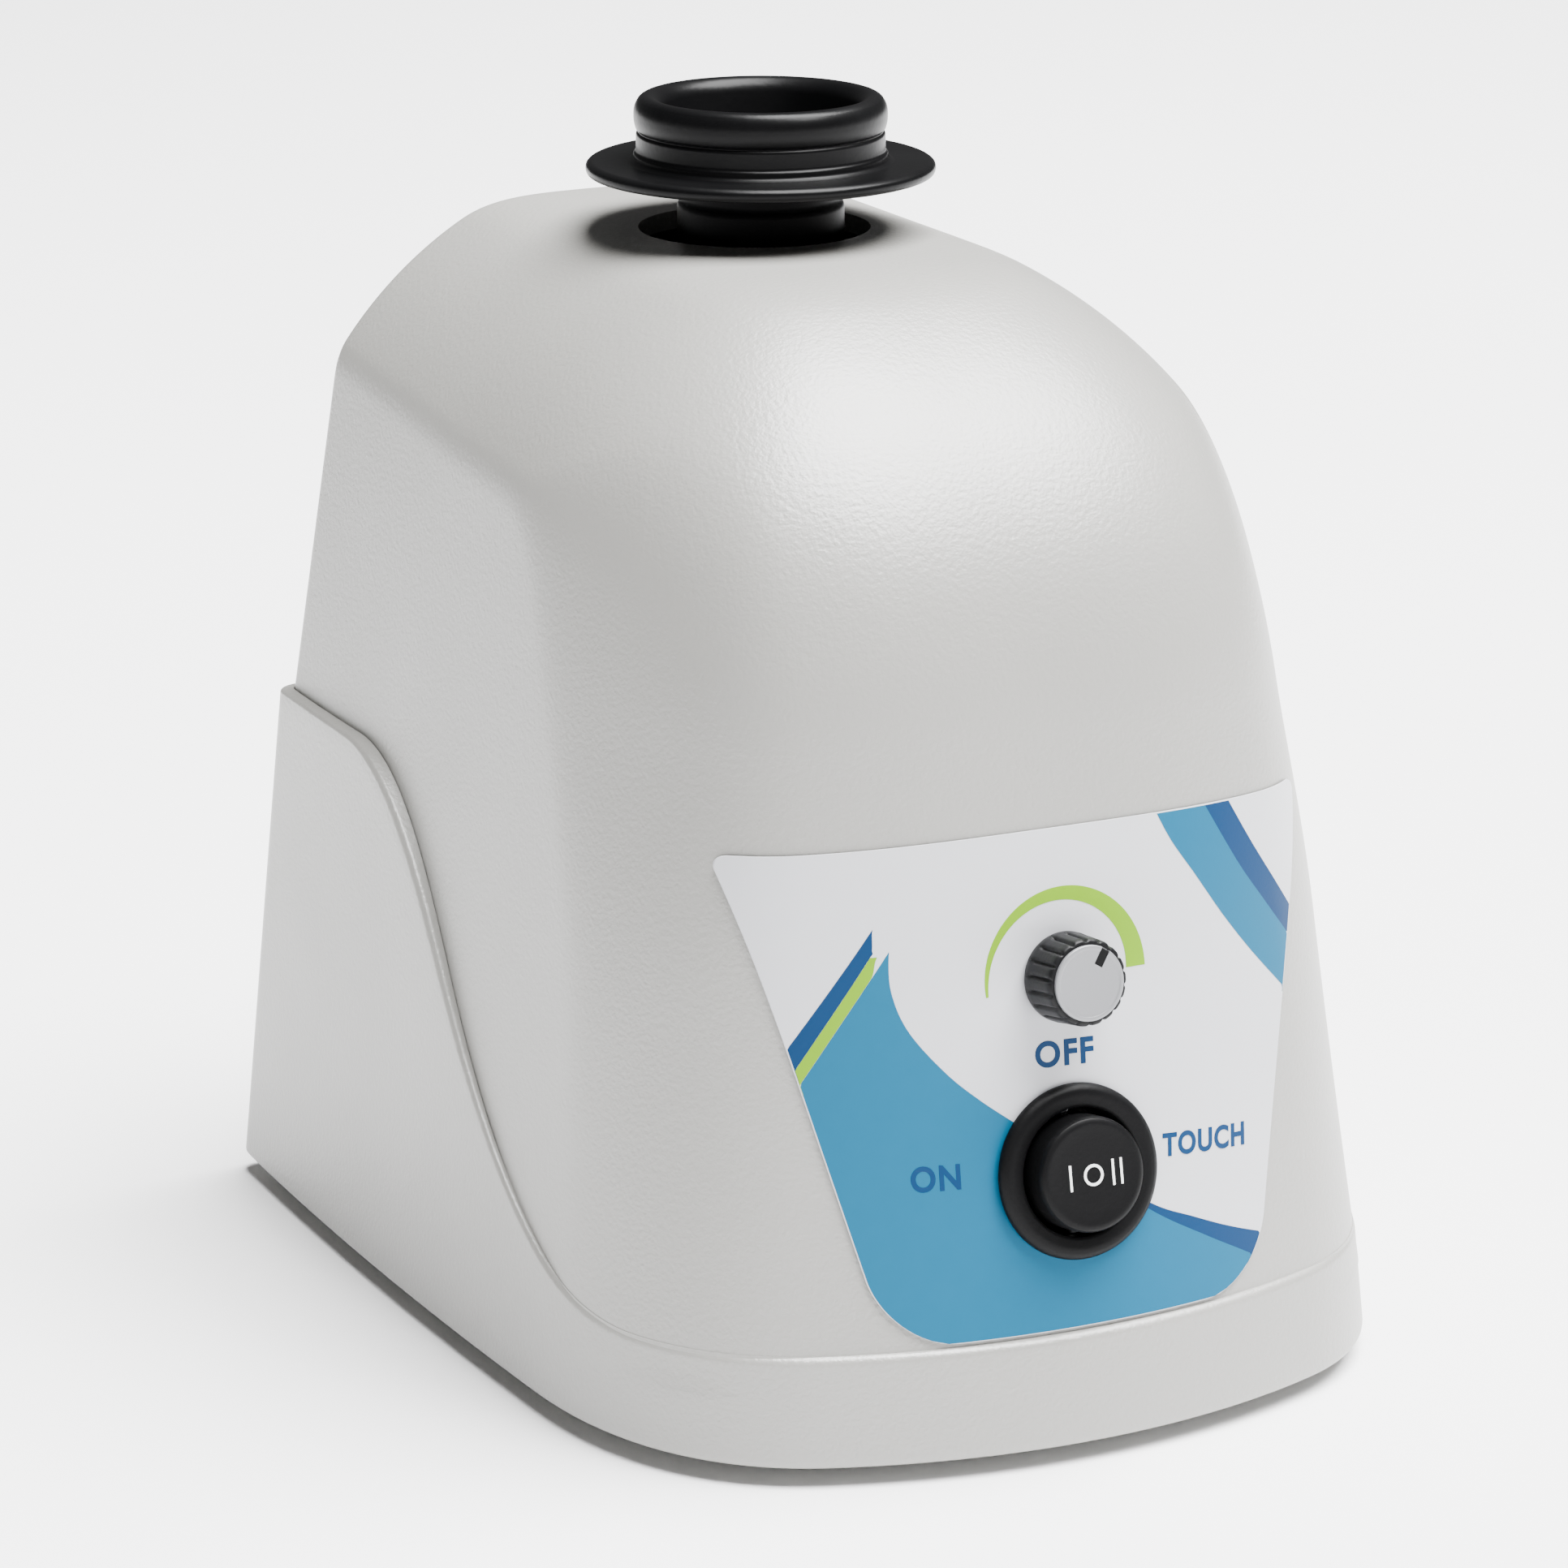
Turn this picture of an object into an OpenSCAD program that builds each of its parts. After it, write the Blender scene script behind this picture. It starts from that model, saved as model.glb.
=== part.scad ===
// Benchtop vortex mixer: domed housing on a proud base tub, rubber cup head on an
// eccentric, sprung motor carriage with touch switch, panel with speed knob and rocker.
// Millimetres, +Z up, the panel faces -Y, the feet stand on z = 0.

/* [Body] */
// Half width of the housing at the panel's foot
side_half = 58.9; // [56:0.1:64]
// Rear wall of the base, behind the origin
rear_y = 77.9; // [74:0.1:84]
// Panel foot, in front of the origin
front_y = 78.2; // [74:0.1:84]
// Backwards lean of the front panel, mm per mm of height
panel_lean = 0.266; // [0.22:0.002:0.3]
// Plan radius of the bowed front panel
front_bow = 99; // [85:1:140]
// Height of the flat pad on top
pad_z = 144.6; // [142:0.1:148]
// How far the base tub stands proud of the housing
proud = 1.6; // [1.4:0.1:2]
// Housing wall thickness
wall = 2.6; // [2.2:0.1:3]

/* [Head] */
// Distance of the motor axis behind the origin
head_y = 24.8; // [20:0.1:28]
// Radius of the orbit of the cup
orbit = 2; // [1.5:0.1:2.2]
// Radius of the hole in the pad
hole_r = 16; // [15:0.1:17]
// Height of the top face of the cup flange
flange_z = 154.2; // [153:0.1:157]
// Radius of the cup flange
flange_r = 24; // [22:0.1:26]
// Radius of the cup rim
cup_r = 17.4; // [16:0.1:18]
// Height of the cup above its flange
cup_h = 9; // [8:0.1:11]
// Downward travel of the head in touch mode
touch_travel = 2; // [1:0.1:2.2]

/* [Controls] */
// Height of the speed knob on the panel
knob_z = 62.4; // [60:0.1:66]
// Radius of the knob skirt
knob_r = 5.8; // [5:0.1:7]
// Height of the knob
knob_h = 7.8; // [7:0.1:9]
// Height of the rocker switch on the panel
rocker_z = 37.3; // [35:0.1:40]
// Radius of the rocker bezel
bezel_r = 11.5; // [10.5:0.1:12.5]

/* [Motor] */
// Radius of the motor can
motor_r = 30; // [29:0.5:31]
// Height of the underside of the carriage plate
carriage_z = 38; // [36:0.5:40]
// Length of the motor between the carriage plate and its top face
motor_l = 66; // [60:1:68]
// Radius of the motor shaft
shaft_r = 4; // [3:0.5:4]

/* [Hidden] */
$fn = 64;
eps = 0.02;
deg = 180 / PI;
tiny = 0.000001;

// housing shape
mid_y = 5;
foot_z = 2.6;
lip_low = 17.1;
lip_high = 75.2;
lip_mid_y = 0.4;
lip_slope = 1.407;
lip_soft_high = 26;
lip_soft_low = 43.2;
side_ref_z = (lip_low + lip_high) / 2;
side_ref = side_half - 2.6;
side_draft_low = 0.057;
side_draft_high = 0.086;
side_twist = 0.055;
twist_y0 = -30;
side_swell = 0.45;
swell_y0 = 20;
wall_y1 = 60;
side_flare = 0.017;
side_crown = 1.65;
rear_lean_low = 0.126;
rear_lean_high = 0.045;
tub_front_lean = 0.159;
dome_x = 56.2;
dome_front = 70.7;
dome_rear = 351;
dome_h = pad_z - 88;
dome_y = 12;
dome_z = 92.7;
dome_plan_exp = 3.02;
dome_arch_exp = 1.99;
dome_blend = 21;
skirt_top = 91.6;
skirt_soft = 30;
corner_front = 17.6;
corner_rear = 1.2;
corner_y0 = -44.5;
corner_y1 = -4;
rear_round = 2.5;
tub_corner = 20.2;
tub_rear_round = 4;
pad_round = 3;

// printed film on the panel
film_low = lip_low + 0.5;
film_high = 81.4;
film_gap = 0.2;
film_t = 0.22;
film_foot_half = 27.2;
film_top_half = 42;
film_corner = 9;
film_corner_top = 2;

// shells
tongue = 5;
tongue_gap = 0.25;
tub_wall = 3.2;
floor_t = 3;
floor_top = foot_z + floor_t;
eye_z = 60;
edge_half = 1.7;
rows_out = 9;
rows_in = 5;
corner_a = 38.2;
right_cols = concat([for (i = [1 : 25]) -90 + i * 4.96], [for (d = [-2, -1, 0, 1, 2]) corner_a + d * 1.1],
  [for (i = [1 : 8]) corner_a + 2.2 + i * 5.5]);
cols = concat([-90], right_cols, [90], [for (i = [len(right_cols) - 1 : -1 : 0]) 180 - right_cols[i]]);
col_n = len(cols);

// inside
ballast_z = floor_top + 0.1;
ballast_t = 8;
ballast_top = ballast_z + ballast_t;
plate_t = 3;
plate_top = carriage_z + plate_t;
motor_top = plate_top + motor_l;
motor_bolt_r = 23;
post_x = 34;
post_dy = 26;
post_r = 2.5;
bush_r = 3.55;
spring_r = 4.6;
hub_z = motor_top + 2;
hub_h = 12;
neck_z = hub_z + hub_h + 1.5;
neck_r = 11.5;
flange_t = 1.8;
cup_top = flange_z + cup_h;
cup_y = head_y - orbit;
bearing_r = 11;
race_r = 6.8;
bearing_gap = 0.05;
board_z = ballast_top + 8;
board_t = 1.6;
board_top = board_z + board_t;
inlet_z = 34;
rear_tilt = atan(rear_lean_low);
pin_spots = [[-6.5, 1.6], [6.5, 1.6], [0, 7]];
pointer_angle = 32;
rocker_pivot = -2;
button_h = 5.2;
inlet_w = 27.4;
inlet_h = 31.4;
shaft_hole_r = 3.6;
well_r = bezel_r - 3.1;
body_r = bezel_r - 1.4;
foot_x = 38;
foot_front_y = -46;
foot_rear_y = 60;
boss_x = 45;
boss_front_y = -12;
boss_rear_y = 44;
boss_top = 104;
boss_web_x = 49;
boss_r = 3.5;
screw_r = 1.6;
inlet_screw_r = 1.4;
inlet_screw_x = 20;

// smooth maximum and minimum with blend width k
function smax(a, b, k) =
  let (h = max(k - abs(a - b), 0) / k) max(a, b) + h * h * k / 4;
function smin(a, b, k) = -smax(-a, -b, k);
function ramp(v, a, b) =
  let (t = min(max((v - a) / (b - a), 0), 1)) t * t * (3 - 2 * t);

// half width of the side walls
function side_x(y, z, tub) =
  let (p = y - mid_y,
    w = side_ref + side_flare * p - side_crown * pow(p / 60, 2))
  tub ? w + proud - side_draft_low * (z - side_ref_z)
      : w - side_draft_high * (z - side_ref_z) + side_swell * ramp(p, swell_y0, wall_y1)
        - side_twist * ramp(p, twist_y0, wall_y1) * max(z - lip_high, 0);

// distance outside the bowed front
function front_d(x, y, z, tub) =
  let (nose = tub ? -front_y + panel_lean * lip_low - proud + tub_front_lean * (z - lip_low)
                  : -front_y + panel_lean * z,
    c = nose + front_bow)
  y < c ? sqrt(x * x + pow(y - c, 2)) - front_bow : abs(x) - front_bow;

// distance outside the dome
function dome_d(x, y, z) =
  let (v = y - dome_y,
    ay = v < 0 ? dome_front : dome_rear,
    a = abs(x) / dome_x + tiny,
    b = abs(v) / ay + tiny,
    c = max(z - dome_z, 0) / dome_h + tiny,
    h = pow(pow(a, dome_plan_exp) + pow(b, dome_plan_exp), 1 / dome_plan_exp),
    q = pow(pow(h, dome_arch_exp) + pow(c, dome_arch_exp), 1 / dome_arch_exp),
    s = pow(h / q, dome_arch_exp - 1),
    ga = pow(a / h, dome_plan_exp - 1) * s / dome_x,
    gb = pow(b / h, dome_plan_exp - 1) * s / ay,
    gc = pow(c / q, dome_arch_exp - 1) / dome_h)
  (q - 1) / (norm([ga, gb, gc]) + tiny);

// distance outside the side and rear walls, and outside the dome with its skirt
function side_d(x, y, z) = abs(x) - side_x(y, z, false);
function back_d(y, z) =
  y - (rear_y - rear_lean_low * lip_high - proud - rear_lean_high * (z - lip_high));
function crown_d(x, y, z) =
  smin(dome_d(x, y, z), smax(front_d(x, y, z, false), z - skirt_top, skirt_soft), dome_blend);

// distance outside the upper housing
function upper_d(x, y, z) =
  let (k = corner_front + (corner_rear - corner_front) * ramp(y, corner_y0, corner_y1),
    v = smax(crown_d(x, y, z), side_d(x, y, z), k))
  smax(smax(v, back_d(y, z), rear_round), z - pad_z, pad_round);

// distance outside the base tub
function tub_d(x, y, z) =
  let (side = abs(x) - side_x(y, z, true),
    back = y - (rear_y - rear_lean_low * z))
  smax(smax(front_d(x, y, z, true), side, tub_corner), back, tub_rear_round);

function shape_d(p, tub) = tub ? tub_d(p.x, p.y, p.z) : upper_d(p.x, p.y, p.z);

// distance along a ray at which the shape's offset surface is met
function reach(c, d, tub, off, lo = 0, hi = 160, n = 18) =
  n == 0 ? (lo + hi) / 2
  : let (m = (lo + hi) / 2)
    shape_d(c + d * m, tub) < off ? reach(c, d, tub, off, m, hi, n - 1)
                                  : reach(c, d, tub, off, lo, m, n - 1);

// point of the offset surface at a height, in the direction a around the head axis
function at_height(a, z, tub, off) =
  let (c = [0, head_y, z], d = [cos(a), sin(a), 0]) c + d * reach(c, d, tub, off);

// height of the parting line where the tub's wall is at y
function lip_at(y) =
  smax(lip_low, smin(lip_high, side_ref_z + lip_slope * (y - lip_mid_y), lip_soft_high),
    lip_soft_low);
function lip_z(a, lo = 10, hi = 80, n = 13) =
  n == 0 ? (lo + hi) / 2
  : let (m = (lo + hi) / 2)
    m < lip_at(at_height(a, m, true, 0).y) ? lip_z(a, m, hi, n - 1) : lip_z(a, lo, m, n - 1);

// elevation at which the walls meet the dome, seen from the middle of the housing
function ray(a, e) = [cos(e) * cos(a), cos(e) * sin(a), sin(e)];
function edge_e(a, lo = 24, hi = 76, n = 10) =
  n == 0 ? (lo + hi) / 2
  : let (m = (lo + hi) / 2, c = [0, head_y, eye_z], p = c + ray(a, m) * reach(c, ray(a, m), false, 0))
    crown_d(p.x, p.y, p.z) < max(side_d(p.x, p.y, p.z), back_d(p.y, p.z))
      ? edge_e(a, m, hi, n - 1) : edge_e(a, lo, m, n - 1);

// column of points up the upper housing, from the tongue to the hole in the pad
function shell_column(a, z, off, ee, k) =
  let (c = [0, head_y, eye_z],
    foot = at_height(a, z, false, off) - c,
    e0 = atan2(foot.z, norm([foot.x, foot.y])),
    e1 = atan2(pad_z + off - eye_z, hole_r),
    low = ee - edge_half,
    high = ee + edge_half,
    es = concat([for (i = [0 : k]) e0 + (low - e0) * i / k], [ee],
      [for (i = [0 : k]) high + (e1 - high) * i / k]))
  [for (e = es) c + ray(a, e) * reach(c, ray(a, e), false, off)];

// faces of a closed tube made of rings of n points each
function ring_faces(rings, n) =
  [for (i = [0 : rings - 1], j = [0 : n - 1])
    let (a = i * n + j, b = i * n + (j + 1) % n,
      c = ((i + 1) % rings) * n + (j + 1) % n, d = ((i + 1) % rings) * n + j)
    each [[a, c, b], [a, d, c]]];
function flipped(faces) = [for (f = faces) [f[0], f[2], f[1]]];
function stack_faces(rings, n) =
  [for (i = [0 : rings - 2], j = [0 : n - 1])
    let (a = i * n + j, b = i * n + (j + 1) % n, c = b + n, d = a + n)
    each [[a, b, c], [a, c, d]]];

module upper_shell() {
  low = [for (a = cols) lip_z(a) - tongue];
  edge = [for (a = cols) edge_e(a)];
  outer = [for (j = [0 : col_n - 1]) shell_column(cols[j], low[j], 0, edge[j], rows_out)];
  inner = [for (j = [0 : col_n - 1]) shell_column(cols[j], low[j], -wall, edge[j], rows_in)];
  pts = [for (i = [0 : 2 * rows_out + 2]) each [for (j = [0 : col_n - 1]) outer[j][i]],
    for (i = [2 * rows_in + 2 : -1 : 0]) each [for (j = [0 : col_n - 1]) inner[j][i]]];
  polyhedron(pts, ring_faces(2 * rows_out + 2 * rows_in + 6, col_n), convexity = 8);
}

// the tub leans, so the directions towards its rear corners change with height
function corner_at(z) = let (y = rear_y - rear_lean_low * z) atan2(y - head_y, side_x(y, z, true));
function turned(a, z) =
  let (c = corner_at(z))
  a < 0 || a > 180 ? a
  : a < corner_a ? a * c / corner_a
  : a > 180 - corner_a ? 180 - (180 - a) * c / corner_a
  : 90 + (a - 90) * (90 - c) / (90 - corner_a);
function tub_ring(zs, tub, off) =
  [for (j = [0 : col_n - 1]) at_height(turned(cols[j], zs[j]), zs[j], tub, off)];
function level(z) = [for (j = [0 : col_n - 1]) z];

module tub_shell() {
  lips = [for (a = cols) lip_z(a)];
  round = 0.5;
  step = lips - level(tongue + 0.3);
  rings = [
    tub_ring(level(foot_z), true, 0),
    tub_ring((level(foot_z) * 2 + lips) / 3, true, 0),
    tub_ring((level(foot_z) + lips * 2) / 3, true, 0),
    tub_ring(lips - level(round), true, 0),
    tub_ring(lips, true, -round),
    tub_ring(lips, false, tongue_gap),
    tub_ring(step, false, tongue_gap),
    tub_ring(step, true, -tub_wall),
    tub_ring((level(floor_top) + step) / 2, true, -tub_wall),
    tub_ring(level(floor_top), true, -tub_wall)];
  n = len(rings);
  pts = [for (r = rings) each r, [0, head_y, foot_z], [0, head_y, floor_top]];
  caps = [for (j = [0 : col_n - 1])
    let (k = (j + 1) % col_n, top = (n - 1) * col_n)
    each [[n * col_n, k, j], [n * col_n + 1, top + j, top + k]]];
  polyhedron(pts, flipped(concat(stack_faces(n, col_n), caps)), convexity = 8);
}

// panel placing: local +Z leaves the panel, local +Y runs up it
function panel_at(x, z, off = 0, lo = -130, hi = 0, n = 22) =
  n == 0 ? (lo + hi) / 2
  : let (m = (lo + hi) / 2)
    upper_d(x, m, z) > off ? panel_at(x, z, off, m, hi, n - 1)
                           : panel_at(x, z, off, lo, m, n - 1);
module on_panel(z) {
  tilt = atan((panel_at(0, z + 2) - panel_at(0, z - 2)) / 4);
  translate([0, panel_at(0, z), z]) rotate([90 - tilt, 0, 0]) children();
}
module on_rear(z) {
  translate([0, rear_y - rear_lean_low * z, z])
    rotate([rear_tilt - 90, 0, 0]) rotate([0, 0, 180]) children();
}
module disc(r, z0, z1, y = 0, x = 0) {
  translate([x, y, z0]) cylinder(r = r, h = z1 - z0);
}
module ring(ro, ri, z0, z1, y = 0, x = 0) {
  translate([x, y, z0]) difference() {
    cylinder(r = ro, h = z1 - z0);
    translate([0, 0, -1]) cylinder(r = ri, h = z1 - z0 + 2);
  }
}
module block(x0, x1, y0, y1, z0, z1) {
  translate([x0, y0, z0]) cube([x1 - x0, y1 - y0, z1 - z0]);
}
module at_posts() {
  for (sx = [-1, 1], sy = [-1, 1]) translate([sx * post_x, head_y + sy * post_dy, 0]) children();
}

// round tube swept along points
function unit(v) = v / norm(v);
function sweep_points(path, r, sides, ref) =
  let (n = len(path))
  [for (i = [0 : n - 1])
    let (t = unit(path[min(i + 1, n - 1)] - path[max(i - 1, 0)]),
      u = unit(cross(t, ref)), v = cross(u, t))
    each [for (k = [0 : sides - 1])
      path[i] + r * (cos(k * 360 / sides) * u + sin(k * 360 / sides) * v)]];
module sweep(path, r, sides, ref) {
  n = len(path);
  last = (n - 1) * sides;
  faces = concat([[for (k = [sides - 1 : -1 : 0]) k]], [[for (k = [0 : sides - 1]) last + k]],
    stack_faces(n, sides));
  polyhedron(sweep_points(path, r, sides, ref), faces, convexity = 6);
}
// smooth path through control points
function spline(p, steps) =
  let (n = len(p))
  [for (i = [0 : n - 2], s = [0 : (i == n - 2 ? steps : steps - 1)])
    let (t = s / steps, a = p[max(i - 1, 0)], b = p[i], c = p[i + 1], d = p[min(i + 2, n - 1)])
    0.5 * (2 * b + (c - a) * t + (2 * a - 5 * b + 4 * c - d) * t * t
      + (3 * b - a - 3 * c + d) * t * t * t)];

// housing
module upper_housing() {
  color([0.86, 0.86, 0.84]) difference() {
    union() {
      upper_shell();
      pot_posts();
      at_bosses() disc(boss_r, floor_top + 0.1, boss_top);
      for (x = [-boss_web_x, boss_x], y = [boss_front_y, boss_rear_y])
        block(x, x + boss_web_x - boss_x, y - 1, y + 1, boss_top - 16, boss_top - 0.5);
    }
    at_bosses() disc(screw_r + eps, 0, floor_top + 20);
    on_panel(knob_z) disc(shaft_hole_r, -12, 10);
    on_panel(knob_z) at_pot_screws() disc(1.2, -16, -7);
    on_panel(rocker_z) disc(body_r, -12, 10);
  }
}
module at_pot_screws() {
  for (x = [-14, 14]) translate([x, 0, 0]) children();
}
module pot_posts() {
  on_panel(knob_z) at_pot_screws() disc(2.8, -14.58, -2);
}
module lower_housing() {
  color([0.84, 0.84, 0.82]) difference() {
    tub_shell();
    on_rear(inlet_z) block(-inlet_w / 2, inlet_w / 2, -inlet_h / 2, inlet_h / 2, -8, 8);
    on_rear(inlet_z) at_inlet_screws() disc(inlet_screw_r + eps, -8, 8);
    at_feet() disc(1.8, -1, floor_top + 1);
    at_bosses() disc(1.9, -1, floor_top + 1);
  }
}
// printed film on the panel, rounded at its four corners
function film_half(z) =
  let (w = film_foot_half + (film_top_half - film_foot_half) * (z - film_low) / (film_high - film_low),
    d = max(film_corner - (z - film_low), 0),
    e = max(film_corner_top - (film_high - z), 0))
  w - film_corner + sqrt(max(film_corner * film_corner - d * d, 0))
    - film_corner_top + sqrt(max(film_corner_top * film_corner_top - e * e, 0));
module panel_overlay() {
  n = 18;
  m = 22;
  zs = [for (i = [0 : m]) let (t = i / m) film_low + (film_high - film_low) * (0.35 * t + 0.65 * t * t)];
  grid = [for (off = [film_gap, film_gap + film_t]) each [for (i = [0 : m]) each
    [for (j = [0 : n]) let (x = film_half(zs[i]) * (2 * j / n - 1)) [x, panel_at(x, zs[i], off), zs[i]]]]];
  w = n + 1;
  top = (m + 1) * w;
  skin = [for (i = [0 : m - 1], j = [0 : n - 1])
    let (a = i * w + j, b = a + 1, c = b + w, d = a + w)
    each [[a, b, c], [a, c, d], [top + a, top + c, top + b], [top + a, top + d, top + c]]];
  rim = concat([for (j = [0 : n]) j], [for (i = [1 : m]) i * w + n],
    [for (j = [n - 1 : -1 : 0]) m * w + j], [for (i = [m - 1 : -1 : 1]) i * w]);
  k = len(rim);
  sides = [for (i = [0 : k - 1])
    let (a = rim[i], b = rim[(i + 1) % k])
    each [[a, top + b, b], [a, top + a, top + b]]];
  color([0.87, 0.88, 0.9]) difference() {
    polyhedron(grid, concat(skin, sides), convexity = 6);
    on_panel(knob_z) disc(shaft_hole_r, -12, 10);
    on_panel(rocker_z) disc(body_r, -12, 10);
  }
}
module at_feet() {
  for (s = [-1, 1], y = [foot_front_y, foot_rear_y]) translate([s * foot_x, y, 0]) children();
}
module at_bosses() {
  for (s = [-1, 1], y = [boss_front_y, boss_rear_y]) translate([s * boss_x, y, 0]) children();
}
// pan-head screw with its tip up, head below z = 0
module screw_up(r, len, head_r, head_h) {
  rotate_extrude() polygon([[0, -head_h], [head_r * 0.7, -head_h], [head_r, -head_h * 0.4],
    [head_r, 0], [r, 0], [r, len - r], [r * 0.3, len], [0, len]]);
}

module ballast_plate() {
  color([0.25, 0.26, 0.28]) difference() {
    translate([0, 0, ballast_z]) linear_extrude(ballast_t) polygon([[-40, -44], [-32, -52], [32, -52],
      [40, -44], [40, 58], [34, 64], [-34, 64], [-40, 58]]);
    at_posts() disc(post_r + eps, 0, 30);
    at_feet() disc(5, 0, 30);
  }
}

module feet() {
  color([0.12, 0.12, 0.13]) at_feet() rotate_extrude() polygon([[0, 0.9], [7, 0.9], [8.2, 0],
    [10, 0], [9.7, 0.9], [8.8, foot_z - eps], [1.7, foot_z - eps], [1.7, 1.6], [0, 1.6]]);
}
module foot_screws() {
  color([0.7, 0.7, 0.72]) at_feet() translate([0, 0, floor_top + 0.05]) mirror([0, 0, 1])
    screw_up(1.5, floor_top - 1.7, 3, 1.8);
}
module housing_screws() {
  color([0.7, 0.7, 0.72]) at_bosses() translate([0, 0, foot_z - eps]) screw_up(screw_r, 16, 3, 1.9);
}
module guide_posts() {
  color([0.75, 0.75, 0.77]) at_posts() union() {
    disc(post_r, floor_top + 0.3, ballast_top + 0.02);
    disc(post_r - 0.02, ballast_top, plate_top + 3);
    disc(4.6, plate_top + 2 + eps, plate_top + 4.6);
  }
}
// spring coil, closed onto its seats at both ends
module touch_springs() {
  turns = 5.5;
  steps = 66;
  wire = 0.6;
  z0 = ballast_top + wire + 0.03;
  z1 = carriage_z - wire - 0.03;
  coil = [for (i = [0 : steps])
    let (t = i / steps, a = t * turns * 360, h = ramp(t, -0.2, 1.2))
    [spring_r * cos(a), spring_r * sin(a), z0 + (z1 - z0) * (h - ramp(0, -0.2, 1.2))
      / (ramp(1, -0.2, 1.2) - ramp(0, -0.2, 1.2))]];
  color([0.8, 0.8, 0.82]) at_posts() sweep(coil, wire, 6, [0, 0, 1]);
}

// sprung carriage
module carriage_plate() {
  color([0.62, 0.63, 0.65]) difference() {
    block(-post_x - 7, post_x + 7, head_y - 31.5, head_y + 31.5, carriage_z, plate_top);
    block(-12, 12, head_y + 29.2, head_y + 32, carriage_z - 1, plate_top + 1);
    translate([0, head_y, carriage_z - 1]) cylinder(r = 11.6, h = 10);
    at_posts() disc(bush_r + 0.05, carriage_z - 1, plate_top + 1);
    for (a = [45 : 90 : 315]) translate([0, head_y, carriage_z - 1]) rotate(a)
      translate([motor_bolt_r, 0, 0]) cylinder(r = 1.7, h = 10);
  }
}
module guide_bushes() {
  color([0.93, 0.92, 0.86]) at_posts() difference() {
    union() {
      disc(bush_r, carriage_z + 0.05, plate_top + 2);
      disc(5.4, plate_top + eps, plate_top + 2);
    }
    disc(post_r + 0.05, carriage_z - 1, plate_top + 5);
  }
}
module motor_can() {
  color([0.66, 0.67, 0.69]) ring(motor_r, motor_r - 1.5, plate_top + 6, motor_top - 6, head_y);
}
module motor_cap_lower() {
  color([0.72, 0.73, 0.75]) translate([0, head_y, 0]) difference() {
    union() {
      disc(motor_r, plate_top + eps, plate_top + 6 - eps);
      disc(14, plate_top + 5, plate_top + 10);
    }
    disc(bearing_r + eps, plate_top + 2, plate_top + 9.1);
    disc(shaft_r + 1.5, plate_top - 1, plate_top + 11);
    for (a = [45 : 90 : 315]) rotate(a) translate([motor_bolt_r, 0, 0]) disc(1.6, plate_top - 1, plate_top + 9);
  }
}
module motor_cap_upper() {
  color([0.72, 0.73, 0.75]) translate([0, head_y, 0]) difference() {
    union() {
      disc(motor_r, motor_top - 6 + eps, motor_top - 2);
      disc(15, motor_top - 10, motor_top);
    }
    disc(bearing_r + eps, motor_top - 9, motor_top - 1.9);
    disc(shaft_r + 1.5, motor_top - 11, motor_top + 1);
    for (a = [0 : 60 : 300]) rotate(a) translate([22, 0, 0]) disc(3, motor_top - 9, motor_top);
  }
}
module motor_screws() {
  color([0.45, 0.46, 0.48]) translate([0, head_y, 0])
    for (a = [45 : 90 : 315]) rotate(a) translate([motor_bolt_r, 0, carriage_z - eps])
      screw_up(1.55, plate_t + 5, 3.2, 2);
}
module stator_core() {
  color([0.5, 0.5, 0.53]) ring(motor_r - 1.55, 17.8, plate_top + 18, motor_top - 20, head_y);
}
module winding_ring(z, up) {
  translate([0, head_y, z]) scale([1, 1, up]) rotate_extrude() polygon([[19, eps], [27, eps],
    [27, 4], [25, 6.5], [21, 6.5], [19, 4]]);
}
module stator_windings() {
  color([0.72, 0.38, 0.16]) winding_ring(motor_top - 20, 1);
  color([0.72, 0.38, 0.16]) winding_ring(plate_top + 18, -1);
}
module rotor_core() {
  color([0.55, 0.55, 0.57]) ring(17.3, shaft_r, plate_top + 17, motor_top - 19, head_y);
}
module motor_shaft() {
  color([0.8, 0.8, 0.82]) disc(shaft_r, carriage_z - 12, hub_z + hub_h - 1, head_y);
}
module motor_bearing_outers() {
  color([0.6, 0.61, 0.64]) translate([0, head_y, 0]) {
    ring(bearing_r, race_r, plate_top + 2.05, plate_top + 9.05);
    ring(bearing_r, race_r, motor_top - 8.95, motor_top - 1.95);
  }
}
module motor_bearing_inners() {
  color([0.85, 0.85, 0.87]) translate([0, head_y, 0]) {
    ring(race_r - bearing_gap, shaft_r, plate_top + 2.05, plate_top + 9.05);
    ring(race_r - bearing_gap, shaft_r, motor_top - 8.95, motor_top - 1.95);
  }
}
module cooling_fan() {
  z = carriage_z - 11;
  color([0.2, 0.2, 0.22]) translate([0, head_y, z]) difference() {
    union() {
      cylinder(r = 8, h = 7);
      for (a = [0 : 45 : 315]) rotate(a) translate([7, 0, 3.5]) rotate([35, 0, 0])
        translate([0, -0.6, -4]) cube([16, 1.2, 8]);
    }
    translate([0, 0, -1]) cylinder(r = shaft_r, h = 10);
  }
}

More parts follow.
